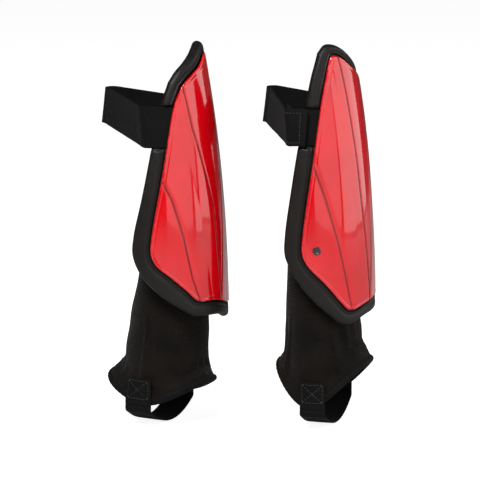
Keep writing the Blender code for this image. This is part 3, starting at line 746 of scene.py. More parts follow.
def make_stud(guard, material):
    """A low dome with a dished middle: rings of a turned profile about the stud's centre."""
    radius = np.array([3.7, 3.7, 3.55, 3.2, 2.7, 2.4, 2.1, 1.6, 0.9, 0.3]) * MM
    rise = np.array([-0.5, 0.5, 0.85, 1.05, 1.1, 1.0, 0.7, 0.6, 0.6, 0.6]) * MM
    turn = np.linspace(0, 2 * np.pi, 48, endpoint=False)[None]
    radius = np.concatenate([[0.3 * MM], radius])[:, None]
    rise = np.concatenate([[-0.5 * MM], rise])[:, None]
    angle = STUD_ANGLE + np.degrees(radius * np.cos(turn) / pad_radius(STUD_HEIGHT))
    z = STUD_HEIGHT + radius * np.sin(turn)
    shape = ring_skin(pad_points(angle, z, -rise + 0 * angle), wrap=False)
    made = guard.add("stud_cap", shape, material, "dark_stud", ["shell_stud"], sharp=40)
    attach(made, guard.body("pad"))


def foam_rings():
    """Rings of (angle, z, depth) over the foam: out from under the shell, round its rim and back.

    Across the rim the depth follows a lip, a valley and a bead, then half an ellipse to the back.
    """
    shell, foam = outline_loop(SHELL_OUTLINE), outline_loop(FOAM_OUTLINE)
    width = np.linalg.norm(on_skin(*foam.T) - on_skin(*shell.T), axis=-1)[None]
    back = FOAM_DEPTH + FOAM_THICKNESS
    crest = bpy.context.scene.guard_foam.bead_depth
    half = (back - crest) / 2
    turned = np.minimum(half, ROUNDED_SHARE * width)
    flat = width - turned
    lip = np.array(LIP_STEPS)[:, None] * MM
    bead = lip[-1] + np.linspace(0, 1, 12)[1:, None] * (flat - lip[-1])
    across = np.vstack([lip + 0 * width, bead])
    depth = eased_steps(across, np.array(RIM_STOPS) * MM, [*RIM_DEPTHS, crest, crest])
    depth = depth + (crest - depth) * ease((across - flat + BEAD_EDGE) / BEAD_EDGE)
    turn = np.linspace(0, np.pi, 17)[1:, None]
    across = np.vstack([across, flat + turned * np.sin(turn)])
    depth = np.vstack([depth, crest + half * (1 - np.cos(turn)) + 0 * width])
    inward = np.linspace(0, 1, 8)[1:, None] * (flat - lip[0])
    across = np.vstack([across, flat - inward])
    depth = np.vstack([depth, back + 0 * inward + 0 * width])
    share = (across / width)[..., None]
    places = shell + (foam - shell) * share
    centre = np.array([0, PAD_MIDDLE])
    shrink = np.array(FACE_SHARES)[:, None, None]
    inside = centre + shrink * (places[:1] - centre)
    behind = centre + shrink[::-1] * (places[-1:] - centre)
    places = np.vstack([inside, places, behind])
    level = np.zeros((len(shrink), depth.shape[1]))
    depth = np.vstack([FOAM_DEPTH + level, depth, back + level])
    return places[..., 0], places[..., 1], depth


def strap_channel(angle, z, depth):
    """The foam under the strap pressed down to the channel's floor, with eased walls."""
    for side, width in ((-1, STRAP_WIDTH), (1, STRAP_BACK_WIDTH)):
        away = np.abs(z - STRAP_MIDDLE) - width / 2 - 0.6 * MM
        inside = 1 - ease(away / CHANNEL_EDGE)
        there = inside * ease((angle * side - STRAP_SEWN_ANGLE) / 4)
        depth = depth + there * np.maximum(CHANNEL_FLOOR - depth, 0)
    return depth


def make_foam(guard, material):
    angle, z, depth = foam_rings()
    # Painted highlight mask: the rim's crests, about 0.6 mm under the shell's face.
    crest = np.exp(-(((depth - 0.6 * MM) / (0.8 * MM)) ** 2))
    pressed = strap_channel(angle, z, depth)
    shape = ring_skin(pad_points(angle, z, pressed), wrap=False)
    wear_and_sheen = {"wear_and_sheen": np.concatenate([crest.ravel(), [0, 0]])}
    replaced = ["foam_pad"]
    made = guard.add("foam_surround", shape, material, "black_foam", replaced, sharp=80, values=wear_and_sheen)
    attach(made, guard.body("pad"))


def make_lining(guard, material):
    """A thin layer on the foam's leg side, with a softly rounded border."""
    angle, z = outline_grid(FOAM_OUTLINE, 70, 110)
    middle = 0.5 * (PAD_LOW + PAD_HIGH)
    z = middle + (z - middle) * LINING_MARGIN
    grid = pad_points(angle * LINING_MARGIN, z, LINING_DEPTH + LINING_THICKNESS / 2)
    *shape, uv = slab(grid, LINING_THICKNESS, 0.8 * MM)
    made = guard.add("lining_cloth", shape, material, "black_lining", ["pad_lining"], uv=uv)
    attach(made, guard.body("pad"))


# ---------------------------------------------------------------- straps


def side_angle(side, z):
    """The angle of a side outline at a height."""
    curve = smooth_curve(side, 80)
    lowest = int(np.argmax(np.abs(curve[:, 0])))
    return np.interp(z / MM, curve[lowest:, 1], curve[lowest:, 0])


def strap_path(guard, edge, count=44):
    """The strap's line round the leg: the pad's curve, a run to the loop's back, its arc, and back.

    edge is 1 for the strap's top edge, -1 for its lower edge and 0 for its middle.
    """
    pad_z = STRAP_MIDDLE + edge * STRAP_BACK_WIDTH / 2
    sewn_z = STRAP_MIDDLE + edge * STRAP_WIDTH / 2
    back_z = STRAP_MIDDLE + STRAP_BACK_RISE + edge * STRAP_BACK_WIDTH / 2
    outer_rim = side_angle(FOAM_OUTLINE[1], STRAP_MIDDLE - STRAP_BACK_WIDTH / 2)
    inner_rim = side_angle(FOAM_OUTLINE[3], STRAP_MIDDLE - STRAP_WIDTH / 2)
    outer_angles = np.linspace(STRAP_SEWN_ANGLE, outer_rim + RIM_ANGLE, 7)
    outer = pad_points(outer_angles, pad_z + 0 * outer_angles, SEWN_DEPTH - TAB_OFFSET)
    inner_angles = np.linspace(inner_rim - RIM_ANGLE, -STRAP_HINGE_ANGLE, 5)
    inner = pad_points(inner_angles, sewn_z + 0 * inner_angles, SEWN_DEPTH)
    turn = np.radians(np.linspace(10, 170, 7))
    tip_side = STRAP_TIP_SIDE[guard.name] + STRAP_TIP_RADIUS * np.cos(turn)
    tip_forward = edge * STRAP_TIP_LEAN - STRAP_TIP_BACK[guard.name] - STRAP_TIP_RADIUS * np.sin(turn)
    tip = np.stack([tip_side, tip_forward, back_z + 0 * turn], axis=1)
    shares = np.array(STRAP_RUN_SHARES)[:, None]
    outer_run = outer[-1] + shares * (tip[0] - outer[-1])
    inner_run = inner[0] + shares[::-1] * (tip[-1] - inner[0])
    return smooth_curve(np.vstack([outer, outer_run, tip, inner_run, inner]), count)


def offset_in_plan(path, distance):
    along = np.gradient(path, axis=0)
    across = np.stack([along[:, 1], -along[:, 0], 0 * along[:, 0]], axis=1)
    across /= np.linalg.norm(across, axis=1)[:, None]
    return path + across * distance


def stretch(path, start, end, shares):
    """The path between two lengths along it, at these shares of the way."""
    along = length_along(path)
    places = start + (end - start) * shares
    return np.stack([np.interp(places, along, path[:, i]) for i in range(3)], axis=1)


def tab_start(path):
    """How far along the strap's line its angle round the pad is the free end's."""
    on_pad = np.degrees(np.arctan2(path[:, 0], path[:, 1] - pad_centre(STRAP_MIDDLE)))
    first = slice(STRAP_PAD_POINTS)
    return float(np.interp(TAB_END_ANGLE, on_pad[first], length_along(path)[first]))


def ribbon_grid(guard, start, end, count, offset=0.0, trim=0.0, slant=0.0, sag=0.0):
    """Rows along the strap's line and columns from its lower to its top edge, each on its own line.

    slant shortens the start of the lower edge, and sag hangs that edge in soft waves.
    """
    near = 0.3 * MM / (end - start) * np.arange(4)
    shares = np.unique(np.concatenate([np.linspace(0, 1, count), near, 1 - near]))
    border = np.array([0, 0.15, 0.4, 0.8, 1.4]) * MM / STRAP_BACK_WIDTH
    up = np.concatenate([border, np.linspace(0.08, 0.92, 20), 1 - border[::-1]])
    along = shares * (end - start)
    wave = sag * np.sin(along / (9.5 * MM) + 1.2) * ease(along / (8 * MM))
    columns = []
    for share in up:
        edge = 2 * share - 1
        line = offset_in_plan(smooth_curve(strap_path(guard, edge), 300), offset)
        first = start + slant * (1 - share)
        path = stretch(line, first, min(end, length_along(line)[-1]), shares)
        path[:, 2] += wave * (1 - share) - edge * trim
        columns.append(path)
    return np.stack(columns, axis=1)


def closure_lengths(guard):
    """How far along the strap's line are its free end, its peel line and its sewn end."""
    path = strap_path(guard, 0)
    free_end = tab_start(path)
    return free_end, free_end + CLOSURE_LENGTH, length_along(path)[-1]


def add_band(guard, piece, grid, thickness, material, slot, replaces, rounding=0.6 * MM):
    *shape, uv = slab(grid, thickness, rounding)
    return guard.add(piece, shape, material, slot, replaces, uv=uv)


def make_calf_webbing(guard, webbing):
    """The strap from its peel line round the leg and on under the shell, as one band."""
    _, peel, whole = closure_lengths(guard)
    strap = ribbon_grid(guard, peel + 0.15 * MM, whole, 150)
    heights = strap[-1, :, 2]
    angles = np.linspace(-STRAP_HINGE_ANGLE, -STRAP_SEWN_ANGLE, 22)[1:, None]
    anchor = pad_points(angles, heights[None] + 0 * angles, SEWN_DEPTH)
    grid = np.vstack([strap, anchor])
    grid = grid + buckled(grid, guard)
    replaced = ["calf_strap", "strap_anchor"]
    made = add_band(guard, "calf_webbing", grid, STRAP_THICKNESS, webbing, "black_webbing", replaced)
    hinge = pad_points(np.array(-STRAP_HINGE_ANGLE), np.array(STRAP_MIDDLE), SEWN_DEPTH)
    backward = np.array([0.3, -0.95, 0])
    start, end = guard.world(hinge - 4 * MM * backward), guard.world(hinge + 7 * MM * backward)
    guard.body("pad")
    guard.body("strap")
    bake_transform(made)


def buckled(grid, guard):
    """Slow waves across the free run of the strap, in and out, that fade towards both ends."""
    rows = np.linspace(0, 1, len(grid))[:, None]
    columns = np.linspace(-1, 1, grid.shape[1])[None]
    free = ease((rows - 0.04) / 0.1) * ease((0.55 - rows) / 0.15)
    wave = 0.25 * MM * np.sin(rows * 34 + columns * 1.3 + guard.outer) * columns**2
    out = grid[..., :2] / np.linalg.norm(grid[..., :2], axis=-1, keepdims=True)
    return np.concatenate([out * (free * wave)[..., None], np.zeros((*grid.shape[:2], 1))], axis=-1)


def bend_tab(guard, made, tab):
    """Bakes a piece's transform into its mesh."""
    row = guard.world(tab.mean(axis=1))
    guard.body("strap")
    guard.body("tab")
    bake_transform(made)


def make_closure(guard, webbing, hooks, loops):
    """The free end over its hook tape, the loop tape, and the stub that carries it."""
    free_end, peel, _ = closure_lengths(guard)
    tab = ribbon_grid(guard, free_end, peel - 0.05 * MM, 46, slant=TAB_SLANT, sag=0.5 * MM)
    slot, replaced = "black_webbing", ["strap_tab"]
    made = add_band(guard, "tab_webbing", tab, STRAP_THICKNESS, webbing, slot, replaced, 0.9 * MM)
    bend_tab(guard, made, tab)
    patch = (free_end + TAB_SLANT + PATCH_BORDER, peel - PATCH_PEEL_BORDER, 24)
    for piece, material, offset, node, body in (
        ("hook_tape", hooks, TAB_OFFSET - HOOK_OFFSET, "hook_patch", "tab"),
        ("loop_tape", loops, TAB_OFFSET - LOOP_OFFSET, "loop_patch", "pad"),
    ):
        grid = ribbon_grid(guard, *patch, offset, PATCH_BORDER)
        slot = "hook_and_loop"
        made = add_band(guard, piece, grid, PATCH_THICKNESS, material, slot, [node], 0.4 * MM)
        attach(made, guard.body(body))
    stub = ribbon_grid(guard, 0, peel, 60, TAB_OFFSET)
    replaced = ["closure_stub"]
    made = add_band(guard, "stub_webbing", stub, STRAP_THICKNESS, webbing, "black_webbing", replaced)
    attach(made, guard.body("pad"))
    return tab


# ---------------------------------------------------------------- sleeve and stirrup


def sleeve_section(guard, round_leg, radius, share):
    flat = SLEEVE_FLATNESS[guard.name] ** (0.5 * share)
    twist = math.radians(SLEEVE_TWIST[guard.name]) * guard.outer * share
    side = radius / flat * np.sin(round_leg)
    forward = radius * flat * np.cos(round_leg)
    turned = side * np.cos(twist) + forward * np.sin(twist)
    return turned, forward * np.cos(twist) - side * np.sin(twist)


def sleeve_top_centre():
    return float(pad_centre(SLEEVE_TOP) + pad_radius(SLEEVE_TOP) - SLEEVE_DEPTH - SLEEVE_RADIUS_TOP)


def front_or_heel(round_leg, at_front, at_heel):
    facing = np.cos(round_leg)
    return facing**2 * np.where(facing > 0, at_front, at_heel)


def hem_height(guard, round_leg):
    front, heel = HEM_FRONT[guard.name] - HEM_SIDE, HEM_HEEL[guard.name] - HEM_SIDE
    return HEM_SIDE + front_or_heel(round_leg, front, heel)


def sleeve_places(guard, round_leg, z, offset=0.0):
    """The tube: a section that turns from round to the ankle's ellipse, flared near the hem."""
    down = ease((SLEEVE_TOP - z) / (SLEEVE_TOP - SLEEVE_ANKLE))
    radius = SLEEVE_RADIUS_TOP + (SLEEVE_RADIUS_ANKLE - SLEEVE_RADIUS_TOP) * down
    near_hem = ease((hem_height(guard, round_leg) + HEM_FLARE_HEIGHT - z) / HEM_FLARE_HEIGHT)
    outward_by = front_or_heel(round_leg, HEM_FRONT_FLARE[guard.name], HEM_HEEL_FLARE[guard.name])
    side, forward = sleeve_section(guard, round_leg, radius + outward_by * near_hem + offset, down)
    setback = SLEEVE_FRONT_SETBACK[guard.name] + SLEEVE_RADIUS_ANKLE - SLEEVE_RADIUS_TOP
    centre = sleeve_top_centre() - setback * down
    return np.stack([side, forward + centre, z + 0 * side], axis=-1)


def knit_slack(guard, columns, rows):
    """How far a loose knit tube settles in and out, from a short cloth simulation of it.

    The tube starts a little too long and wide, is held at its top and hem, and sags.
    """
    round_leg = np.linspace(0, 2 * np.pi, columns, endpoint=False)[None]
    hem = hem_height(guard, round_leg)
    z = hem + (SLEEVE_TOP - hem) * np.linspace(0, 1, rows)[:, None]
    start = guard.world(sleeve_places(guard, round_leg, z))
    number = np.arange(columns * rows).reshape(rows, columns)
    beside = np.roll(number, -1, axis=1)
    faces = np.stack([number[:-1], beside[:-1], beside[1:], number[1:]], axis=-1).reshape(-1, 4)
    mesh = bpy.data.meshes.new("knit_trial")
    mesh.from_pydata(start.reshape(-1, 3).tolist(), [], faces.tolist())
    tube = bpy.data.objects.new("knit_trial", mesh)
    bpy.context.scene.collection.objects.link(tube)
    held = tube.vertex_groups.new(name="held")
    held.add([*number[:3].ravel().tolist(), *number[-8:].ravel().tolist()], 1.0, "REPLACE")
    cloth = tube.modifiers.new("Cloth", "CLOTH")
    cloth.settings.quality = 6
    cloth.settings.mass = 0.25
    cloth.settings.tension_stiffness = 8
    cloth.settings.compression_stiffness = 8
    cloth.settings.shear_stiffness = 4
    cloth.settings.bending_stiffness = 0.4
    cloth.settings.shrink_min = -0.035
    cloth.settings.vertex_group_mass = "held"
    scene = bpy.context.scene
    frames = 24
    for number_now in range(1, frames + 1):
        scene.frame_set(number_now)
    graph = bpy.context.evaluated_depsgraph_get()
    settled = np.empty(columns * rows * 3, np.float32)
    tube.evaluated_get(graph).data.vertices.foreach_get("co", settled)
    moved = settled.reshape(rows, columns, 3).astype(float) - start
    scene.frame_set(1)
    bpy.data.objects.remove(tube, do_unlink=True)
    bpy.data.meshes.remove(mesh)
    side_way = guard.outer * np.sin(round_leg)[..., None] * guard.across
    out_way = side_way + np.cos(round_leg)[..., None] * guard.ahead
    return (moved * out_way).sum(axis=-1)


def knit_folds(guard, round_leg, up, z):
    """Soft folds of the knit: low rings that slant round the ankle, plus the simulated slack."""
    looks = bpy.context.scene.guard_knit
    hang = z - hem_height(guard, round_leg)
    loose = ease((112 * MM - z) / (30 * MM)) * ease((hang - 6 * MM) / (12 * MM))
    rings = np.sin(z / (4.6 * MM) + 1.4 * np.sin(round_leg + guard.outer) + 0.6 * np.sin(3 * round_leg))
    bulge = np.sin(z / (13 * MM) + 2.2 * np.cos(round_leg - 0.8 * guard.outer))
    folds = looks.fold_height * (0.45 * rings * (0.6 + 0.4 * np.cos(2 * round_leg + 1)) + bulge)
    rows, columns = 48, 96
    slack = knit_slack(guard, columns, rows)
    slack = np.clip(slack, -looks.slack_limit, looks.slack_limit)
    around = np.hstack([slack, slack[:, :1]])
    at_column = round_leg / (2 * np.pi) * columns
    low = np.floor(at_column).astype(int) % columns
    part = at_column - np.floor(at_column)
    at_row = up * (rows - 1)
    row = np.minimum(at_row.astype(int), rows - 2)
    step = at_row - row
    low, part, row, step = np.broadcast_arrays(low, part, row, step)
    below = around[row, low] * (1 - part) + around[row, low + 1] * part
    above = around[row + 1, low] * (1 - part) + around[row + 1, low + 1] * part
    folds = folds + below * (1 - step) + above * step
    return loose * folds


def make_sleeve(guard, knit):
    """Outer and inner faces of the tube joined at both ends, with folds and a rolled top."""
    columns, rows = 260, 150
    round_leg = np.linspace(0, 2 * np.pi, columns, endpoint=False)[None]
    hem = hem_height(guard, round_leg)
    low = hem + 4 * MM
    up = np.linspace(0, 1, rows)[:, None]
    z = low + (SLEEVE_TOP - low) * up
    share = (z - hem) / (SLEEVE_TOP - hem)
    folds = knit_folds(guard, round_leg, share, z)
    ends = np.minimum(up, 1 - up) * 110 * MM
    wall = SLEEVE_THICKNESS / 2 * np.sqrt(1 - (1 - np.clip(ends / (1.2 * MM), 0.05, 1)) ** 2)
    middle = -SLEEVE_THICKNESS / 2
    outer = sleeve_places(guard, round_leg, z, middle + wall + folds)
    inner = sleeve_places(guard, round_leg, z, middle - wall + folds)[::-3]
    grid = np.vstack([outer, inner])
    shape = ring_skin(grid, wrap=True)
    girth = round_leg * SLEEVE_RADIUS_ANKLE
    uv = np.stack(np.broadcast_arrays(girth, np.vstack([z, z[::-3]])), axis=-1).reshape(-1, 2)
    made = guard.add("sleeve_knit", shape, knit, "black_knit", ["ankle_sleeve"], uv=uv, sharp=180)
    top = np.array([0, sleeve_top_centre(), SLEEVE_TOP - 2 * MM])
    start, end = guard.world(top), guard.world(top - (0, 0, SLEEVE_BEND))
    guard.body("pad")
    guard.body("sleeve")
    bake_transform(made)


def make_binding(guard, webbing):
    """A rolled band along the hem: an upright oval section, slightly puckered between stitches."""
    round_leg = np.linspace(0, 2 * np.pi, 330, endpoint=False)[None]
    turn = np.linspace(0, 2 * np.pi, 20, endpoint=False)[:, None]
    hem = hem_height(guard, round_leg)
    squarer = 0.8
    rise = np.sign(np.sin(turn)) * np.abs(np.sin(turn)) ** squarer
    out = np.sign(np.cos(turn)) * np.abs(np.cos(turn)) ** squarer
    pucker = 1 + 0.05 * np.cos(66 * round_leg) + 0.06 * np.sin(5 * round_leg + guard.outer)
    fuller = front_or_heel(round_leg, 1.0, 1.0)
    z = hem + BINDING_HEIGHT / 2 + BINDING_HEIGHT / 2 * rise * (1 - 0.1 * fuller)
    tucked = 3.2 * MM * fuller * np.clip(0.5 - 0.5 * rise, 0, 1) ** 2
    half = BINDING_THICKNESS / 2 + 0.35 * MM + 1.5 * MM * fuller
    offset = -SLEEVE_THICKNESS / 2 - tucked + half * out * pucker
    grid = sleeve_places(guard, round_leg, z, offset)
    shape = ring_skin(grid, wrap=True)
    girth = round_leg * SLEEVE_RADIUS_ANKLE
    uv = np.stack(np.broadcast_arrays(girth, turn * 2.6 * MM), axis=-1).reshape(-1, 2)
    replaced = ["sleeve_binding"]
    made = guard.add("hem_binding", shape, webbing, "black_webbing", replaced, uv=uv, sharp=180)
    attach(made, guard.body("sleeve"))


def make_seam(guard, lining):
    heights = np.linspace(SLEEVE_TOP - SEAM_HEIGHT, SLEEVE_TOP, 14)[:, None]
    angles = np.linspace(-SEAM_ANGLE, SEAM_ANGLE, 60)[None]
    grid = pad_points(angles, heights + 0 * angles, SEAM_DEPTH + SEAM_THICKNESS / 2)
    slot, replaced = "black_lining", ["sleeve_seam"]
    made = add_band(guard, "seam_tape", grid, SEAM_THICKNESS, lining, slot, replaced, 0.5 * MM)
    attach(made, guard.body("pad"))
    return grid


def stirrup_across(guard, share):
    """Angles round the sleeve across the strap's width, from its back edge to its front edge."""
    half = STIRRUP_WIDTH / 2 / SLEEVE_RADIUS_ANKLE
    return math.pi / 2 + math.radians(STIRRUP_BACK_ANGLE[guard.name]) - share * half


def edge_shares(count, length):
    """Shares along a length with extra ones near both ends, for a rounded border."""
    near = np.array([0, 0.15, 0.4, 0.8, 1.4]) * MM / length
    inset = 2.2 * MM / length
    return np.concatenate([near, np.linspace(inset, 1 - inset, count), 1 - near[::-1]])


def patch_grid(guard, side):
    shares = 1 - 2 * edge_shares(14, STIRRUP_WIDTH)
    round_leg = stirrup_across(guard, shares)[None] * side
    up = edge_shares(16, STIRRUP_PATCH_HEIGHT)[:, None]
    heights = STIRRUP_TOP - 0.4 * MM + STIRRUP_PATCH_HEIGHT * up
    return sleeve_places(guard, round_leg, heights + 0 * round_leg, STIRRUP_OFFSET)


def make_stirrup_patches(guard, webbing):
    for name, side in (("outer", 1), ("inner", -1)):
        grid = patch_grid(guard, side)
        piece, replaced = f"stirrup_end_{name}", [f"stirrup_patch_{name}"]
        made = add_band(guard, piece, grid, STIRRUP_THICKNESS, webbing, "black_webbing", replaced)
        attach(made, guard.body("sleeve"))


def make_stirrup(guard, webbing):
    """The elastic under the foot: straight down from each end, round a knee, and a shallow bow."""
    rows = []
    for share in 1 - 2 * edge_shares(14, STIRRUP_WIDTH):
        round_leg = np.array([1, -1]) * stirrup_across(guard, share)
        height = STIRRUP_TOP - 0.3 * MM + 0 * round_leg
        outer_end, inner_end = sleeve_places(guard, round_leg, height, STIRRUP_OFFSET)
        across = outer_end[:2] - inner_end[:2]
        middle = (outer_end + inner_end)[:2] / 2
        bow = np.linspace(STIRRUP_CURVE, -STIRRUP_CURVE, 13)
        height = STIRRUP_THICKNESS / 2 + STIRRUP_SAG * (bow / 0.5) ** 2
        under = np.column_stack([middle + across * bow[:, None], height])
        knee = STIRRUP_SAG + STIRRUP_THICKNESS / 2
        knees = [np.array([*(middle + way * across * STIRRUP_KNEE), knee]) for way in (1, -1)]
        rows.append(smooth_curve(np.vstack([outer_end, knees[0], under, knees[1], inner_end]), 110))
    grid = np.stack(rows, axis=1)
    replaced = ["stirrup_strap"]
    made = add_band(guard, "stirrup_web", grid, STIRRUP_THICKNESS, webbing, "black_webbing", replaced)
    start, end = guard.world(grid[0, 0]), guard.world(grid[0, 0] - (0, 0, STIRRUP_BEND))
    guard.body("sleeve")
    guard.body("stirrup")
    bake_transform(made)


# ---------------------------------------------------------------- stitching


def thread_beads(line, normal, length, pitch, radius):
    """Vertices and faces of stitches along a line: six-sided beads with tapered ends.

    Each bead lies along the line's tangent at its middle and stands on the given normals.
    """
    along = length_along(line)
    count = max(2, int(along[-1] / pitch))
    places = (np.arange(count) + 0.5) / count * along[-1]

    def at(values):
        return np.stack([np.interp(places, along, values[:, i]) for i in range(3)], axis=1)

    centre, up = at(line), at(normal)
    ahead = at(np.gradient(line, axis=0))
    ahead /= np.linalg.norm(ahead, axis=1, keepdims=True)
    up -= ahead * (up * ahead).sum(axis=1, keepdims=True)
    up /= np.linalg.norm(up, axis=1, keepdims=True)
    across = np.cross(ahead, up)
    turn = np.arange(6) * np.pi / 3
    reach = np.array([-0.5, -0.36, 0.36, 0.5]) * length
    girth = np.array([0.45, 1.0, 1.0, 0.45]) * radius
    sink = np.array([-0.5, 0, 0, -0.5]) * radius
    x = np.repeat(reach, 6)
    y = (girth[:, None] * np.cos(turn)).ravel()
    w = (girth[:, None] * np.sin(turn) + sink[:, None]).ravel()
    ways = ((x, ahead), (y, across), (w, up))
    beads = centre[:, None] + sum(reach[:, None] * way[:, None] for reach, way in ways)
    first = np.arange(3)[:, None] * 6 + np.arange(6)[None]
    beside = np.arange(3)[:, None] * 6 + (np.arange(6)[None] + 1) % 6
    quads = np.stack([first, beside, beside + 6, first + 6], axis=-1).reshape(-1, 4)
    caps = np.array([[5, 4, 3, 2, 1, 0], [18, 19, 20, 21, 22, 23]])
    shift = np.arange(count)[:, None, None] * 24
    return beads.reshape(-1, 3), (quads + shift).reshape(-1, 4), (caps + shift).reshape(-1, 6)


def sew(guard, piece, lines, thread, length=2.3 * MM, pitch=3.1 * MM):
    """One object of all the stitches along several (line, normal) pairs."""
    vertices, faces, total = [], [], 0
    for line, normal in lines:
        line, tip = guard.world(line), guard.world(line + normal)
        beads, quads, caps = thread_beads(line, tip - line, length, pitch, THREAD_RADIUS)
        vertices.append(beads)
        faces += (quads + total).tolist() + (caps + total).tolist()
        total += len(beads)
    vertices = np.vstack(vertices)
    mesh = bpy.data.meshes.new(f"{guard.name}_{piece}")
    mesh.from_pydata(vertices.tolist(), [], outward(vertices, faces))
    mesh.shade_smooth()
    mesh.materials.append(thread)
    made = bpy.data.objects.new(f"{guard.name}_{piece}", mesh)
    bpy.context.scene.collection.objects.link(made)
    return made


def on_grid(grid, rows, columns, lift):
    """(line, normal) of points at fractional rows and columns of a grid, lifted along its normal."""
    normal = grid_normals(grid)
    low_row = np.minimum(rows.astype(int), grid.shape[0] - 2)
    low_column = np.minimum(columns.astype(int), grid.shape[1] - 2)
    a, b = (rows - low_row)[:, None], (columns - low_column)[:, None]

    def blend(field):
        near = field[low_row, low_column] * (1 - b) + field[low_row, low_column + 1] * b
        far = field[low_row + 1, low_column] * (1 - b) + field[low_row + 1, low_column + 1] * b
        return near * (1 - a) + far * a

    way = blend(normal)
    return blend(grid) + lift * way, way * np.sign(lift)


def grid_line(grid, start, end, lift, count=60):
    """A straight line in a grid's own lengths, from start to end as shares of its rows and columns."""
    u, v = grid_lengths(grid)
    rows = np.interp(np.linspace(start[0], end[0], count) * u[-1, 0], u[:, 0], np.arange(len(u)))
    columns = np.interp(np.linspace(start[1], end[1], count) * v[0, -1], v[0], np.arange(v.shape[1]))
    return on_grid(grid, rows, columns, lift)


def away_from_leg(grid, middle):
    """1 or -1, whichever sends a grid's normal away from a point inside it."""
    line, way = grid_line(grid, (0.5, 0.4), (0.5, 0.6), 1e-9)
    return 1 if ((line.mean(axis=0) - middle) * way.mean(axis=0)).sum() > 0 else -1


def stitch_tab(guard, tab, thread):
    """A row across the free end, and two short rows along the closure's edges."""
    out = away_from_leg(tab, np.array([0, 0, STRAP_MIDDLE])) * (STRAP_THICKNESS / 2 + 0.08 * MM)
    lines = [
        grid_line(tab, (0.22, 0.06), (0.22, 0.94), out),
        grid_line(tab, (0.25, 0.1), (0.86, 0.1), out),
        grid_line(tab, (0.25, 0.9), (0.86, 0.9), out),
        grid_line(tab, (0.86, 0.1), (0.86, 0.9), out),
    ]
    bend_tab(guard, sew(guard, "tab_stitches", lines, thread), tab)


def stitch_sleeve(guard, thread):
    """A box with a cross on each stirrup end, and one row along the binding."""
    lines = []
    for side in (1, -1):
        grid = patch_grid(guard, side)
        out = away_from_leg(grid, np.array([0, 0, 32 * MM])) * (STIRRUP_THICKNESS / 2 + 0.06 * MM)
        corners = [(0.26, 0.1), (0.26, 0.9), (0.92, 0.9), (0.92, 0.1)]
        lines += [grid_line(grid, corners[i], corners[(i + 1) % 4], out) for i in range(4)]
        lines += [grid_line(grid, corners[i], corners[i + 2], out) for i in range(2)]
    made = sew(guard, "stirrup_stitches", lines, thread)
    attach(made, guard.body("sleeve"))
    round_leg = np.linspace(0, 2 * np.pi, 400)
    z = hem_height(guard, round_leg) + 0.72 * BINDING_HEIGHT
    line = sleeve_places(guard, round_leg, z, 0.72 * MM)
    way = sleeve_places(guard, round_leg, z, 1.72 * MM) - line
    made = sew(guard, "hem_stitches", [(line, way / MM)], thread)
    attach(made, guard.body("sleeve"))


def stitch_pad(guard, seam, thread):
    """A row round the lining's border, and two rows along the sleeve's seam."""
    loop = outline_loop(FOAM_OUTLINE)
    loop = np.vstack([loop, loop[:1]])
    middle = 0.5 * (PAD_LOW + PAD_HIGH)
    shrink = LINING_MARGIN * 0.965
    angle, z = loop[:, 0] * shrink, middle + (loop[:, 1] - middle) * shrink
    depth = LINING_DEPTH + LINING_THICKNESS + 0.06 * MM
    line = pad_points(angle, z, depth + 0 * angle)
    way = (pad_points(angle, z, depth + MM + 0 * angle) - line) / MM
    inward = -away_from_leg(seam, np.array([0, 0, SLEEVE_TOP])) * (SEAM_THICKNESS / 2 + 0.06 * MM)
    rows = [grid_line(seam, (share, 0.02), (share, 0.98), inward) for share in (0.2, 0.8)]
    lines = [(line, way), *rows]
    made = sew(guard, "lining_stitches", lines, thread, 2.6 * MM, 3.6 * MM)
    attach(made, guard.body("pad"))


# ---------------------------------------------------------------- stage


def make_area_light(name, place, target, size, power, colour=(1, 1, 1)):
    data = bpy.data.lights.new(name, "AREA")
    data.shape = "RECTANGLE"
    data.size, data.size_y = size
    data.energy = power
    data.color = colour
    light = bpy.data.objects.new(name, data)
    way = np.array(target, float) - np.array(place, float)
    light.location = place
    yaw = math.atan2(-way[0], way[1])
    light.rotation_euler = (math.atan2(math.hypot(way[0], way[1]), -way[2]), 0, yaw)
    bpy.context.scene.collection.objects.link(light)


def make_floor(height, size, brightness):
    """A pale sheet with a very faint grain."""
    mesh = bpy.data.meshes.new("studio_floor")
    corners = [(-size, -size), (size, -size), (size, size), (-size, size)]
    mesh.from_pydata([(x, y, height) for x, y in corners], [], [(0, 1, 2, 3)])
    made = Finish("pale_paper", 0.9, Specular_IOR_Level=0.1, Emission_Color=(1, 1, 1, 1))
    glow = made.math("MULTIPLY", made.node("LightPath").outputs["Is Camera Ray"], brightness)
    made.put(made.shader, {"Emission Strength": glow})
    grain = made.between(made.noise(0.02, 4), 0.3, 0.7)
    colour = made.tint(grain, (0.6, 0.6, 0.6, 1), (0.64, 0.64, 0.64, 1))
    mesh.materials.append(made.finish(colour))
    floor = bpy.data.objects.new("studio_floor", mesh)
    bpy.context.scene.collection.objects.link(floor)


def make_world(ambient):
    world = bpy.data.worlds.new("studio_air")
    world.use_nodes = True
    nodes, links = world.node_tree.nodes, world.node_tree.links
    dim = nodes["Background"]
    dim.inputs["Color"].default_value = (1, 1, 1, 1)
    dim.inputs["Strength"].default_value = ambient
    seen = nodes.new("ShaderNodeBackground")
    seen.inputs["Color"].default_value = (1, 1, 1, 1)
    mix = nodes.new("ShaderNodeMixShader")
    rays = nodes.new("ShaderNodeLightPath")
    links.new(rays.outputs["Is Camera Ray"], mix.inputs[0])
    links.new(dim.outputs[0], mix.inputs[1])
    links.new(seen.outputs[0], mix.inputs[2])
    links.new(mix.outputs[0], nodes["World Output"].inputs["Surface"])
    bpy.context.scene.world = world


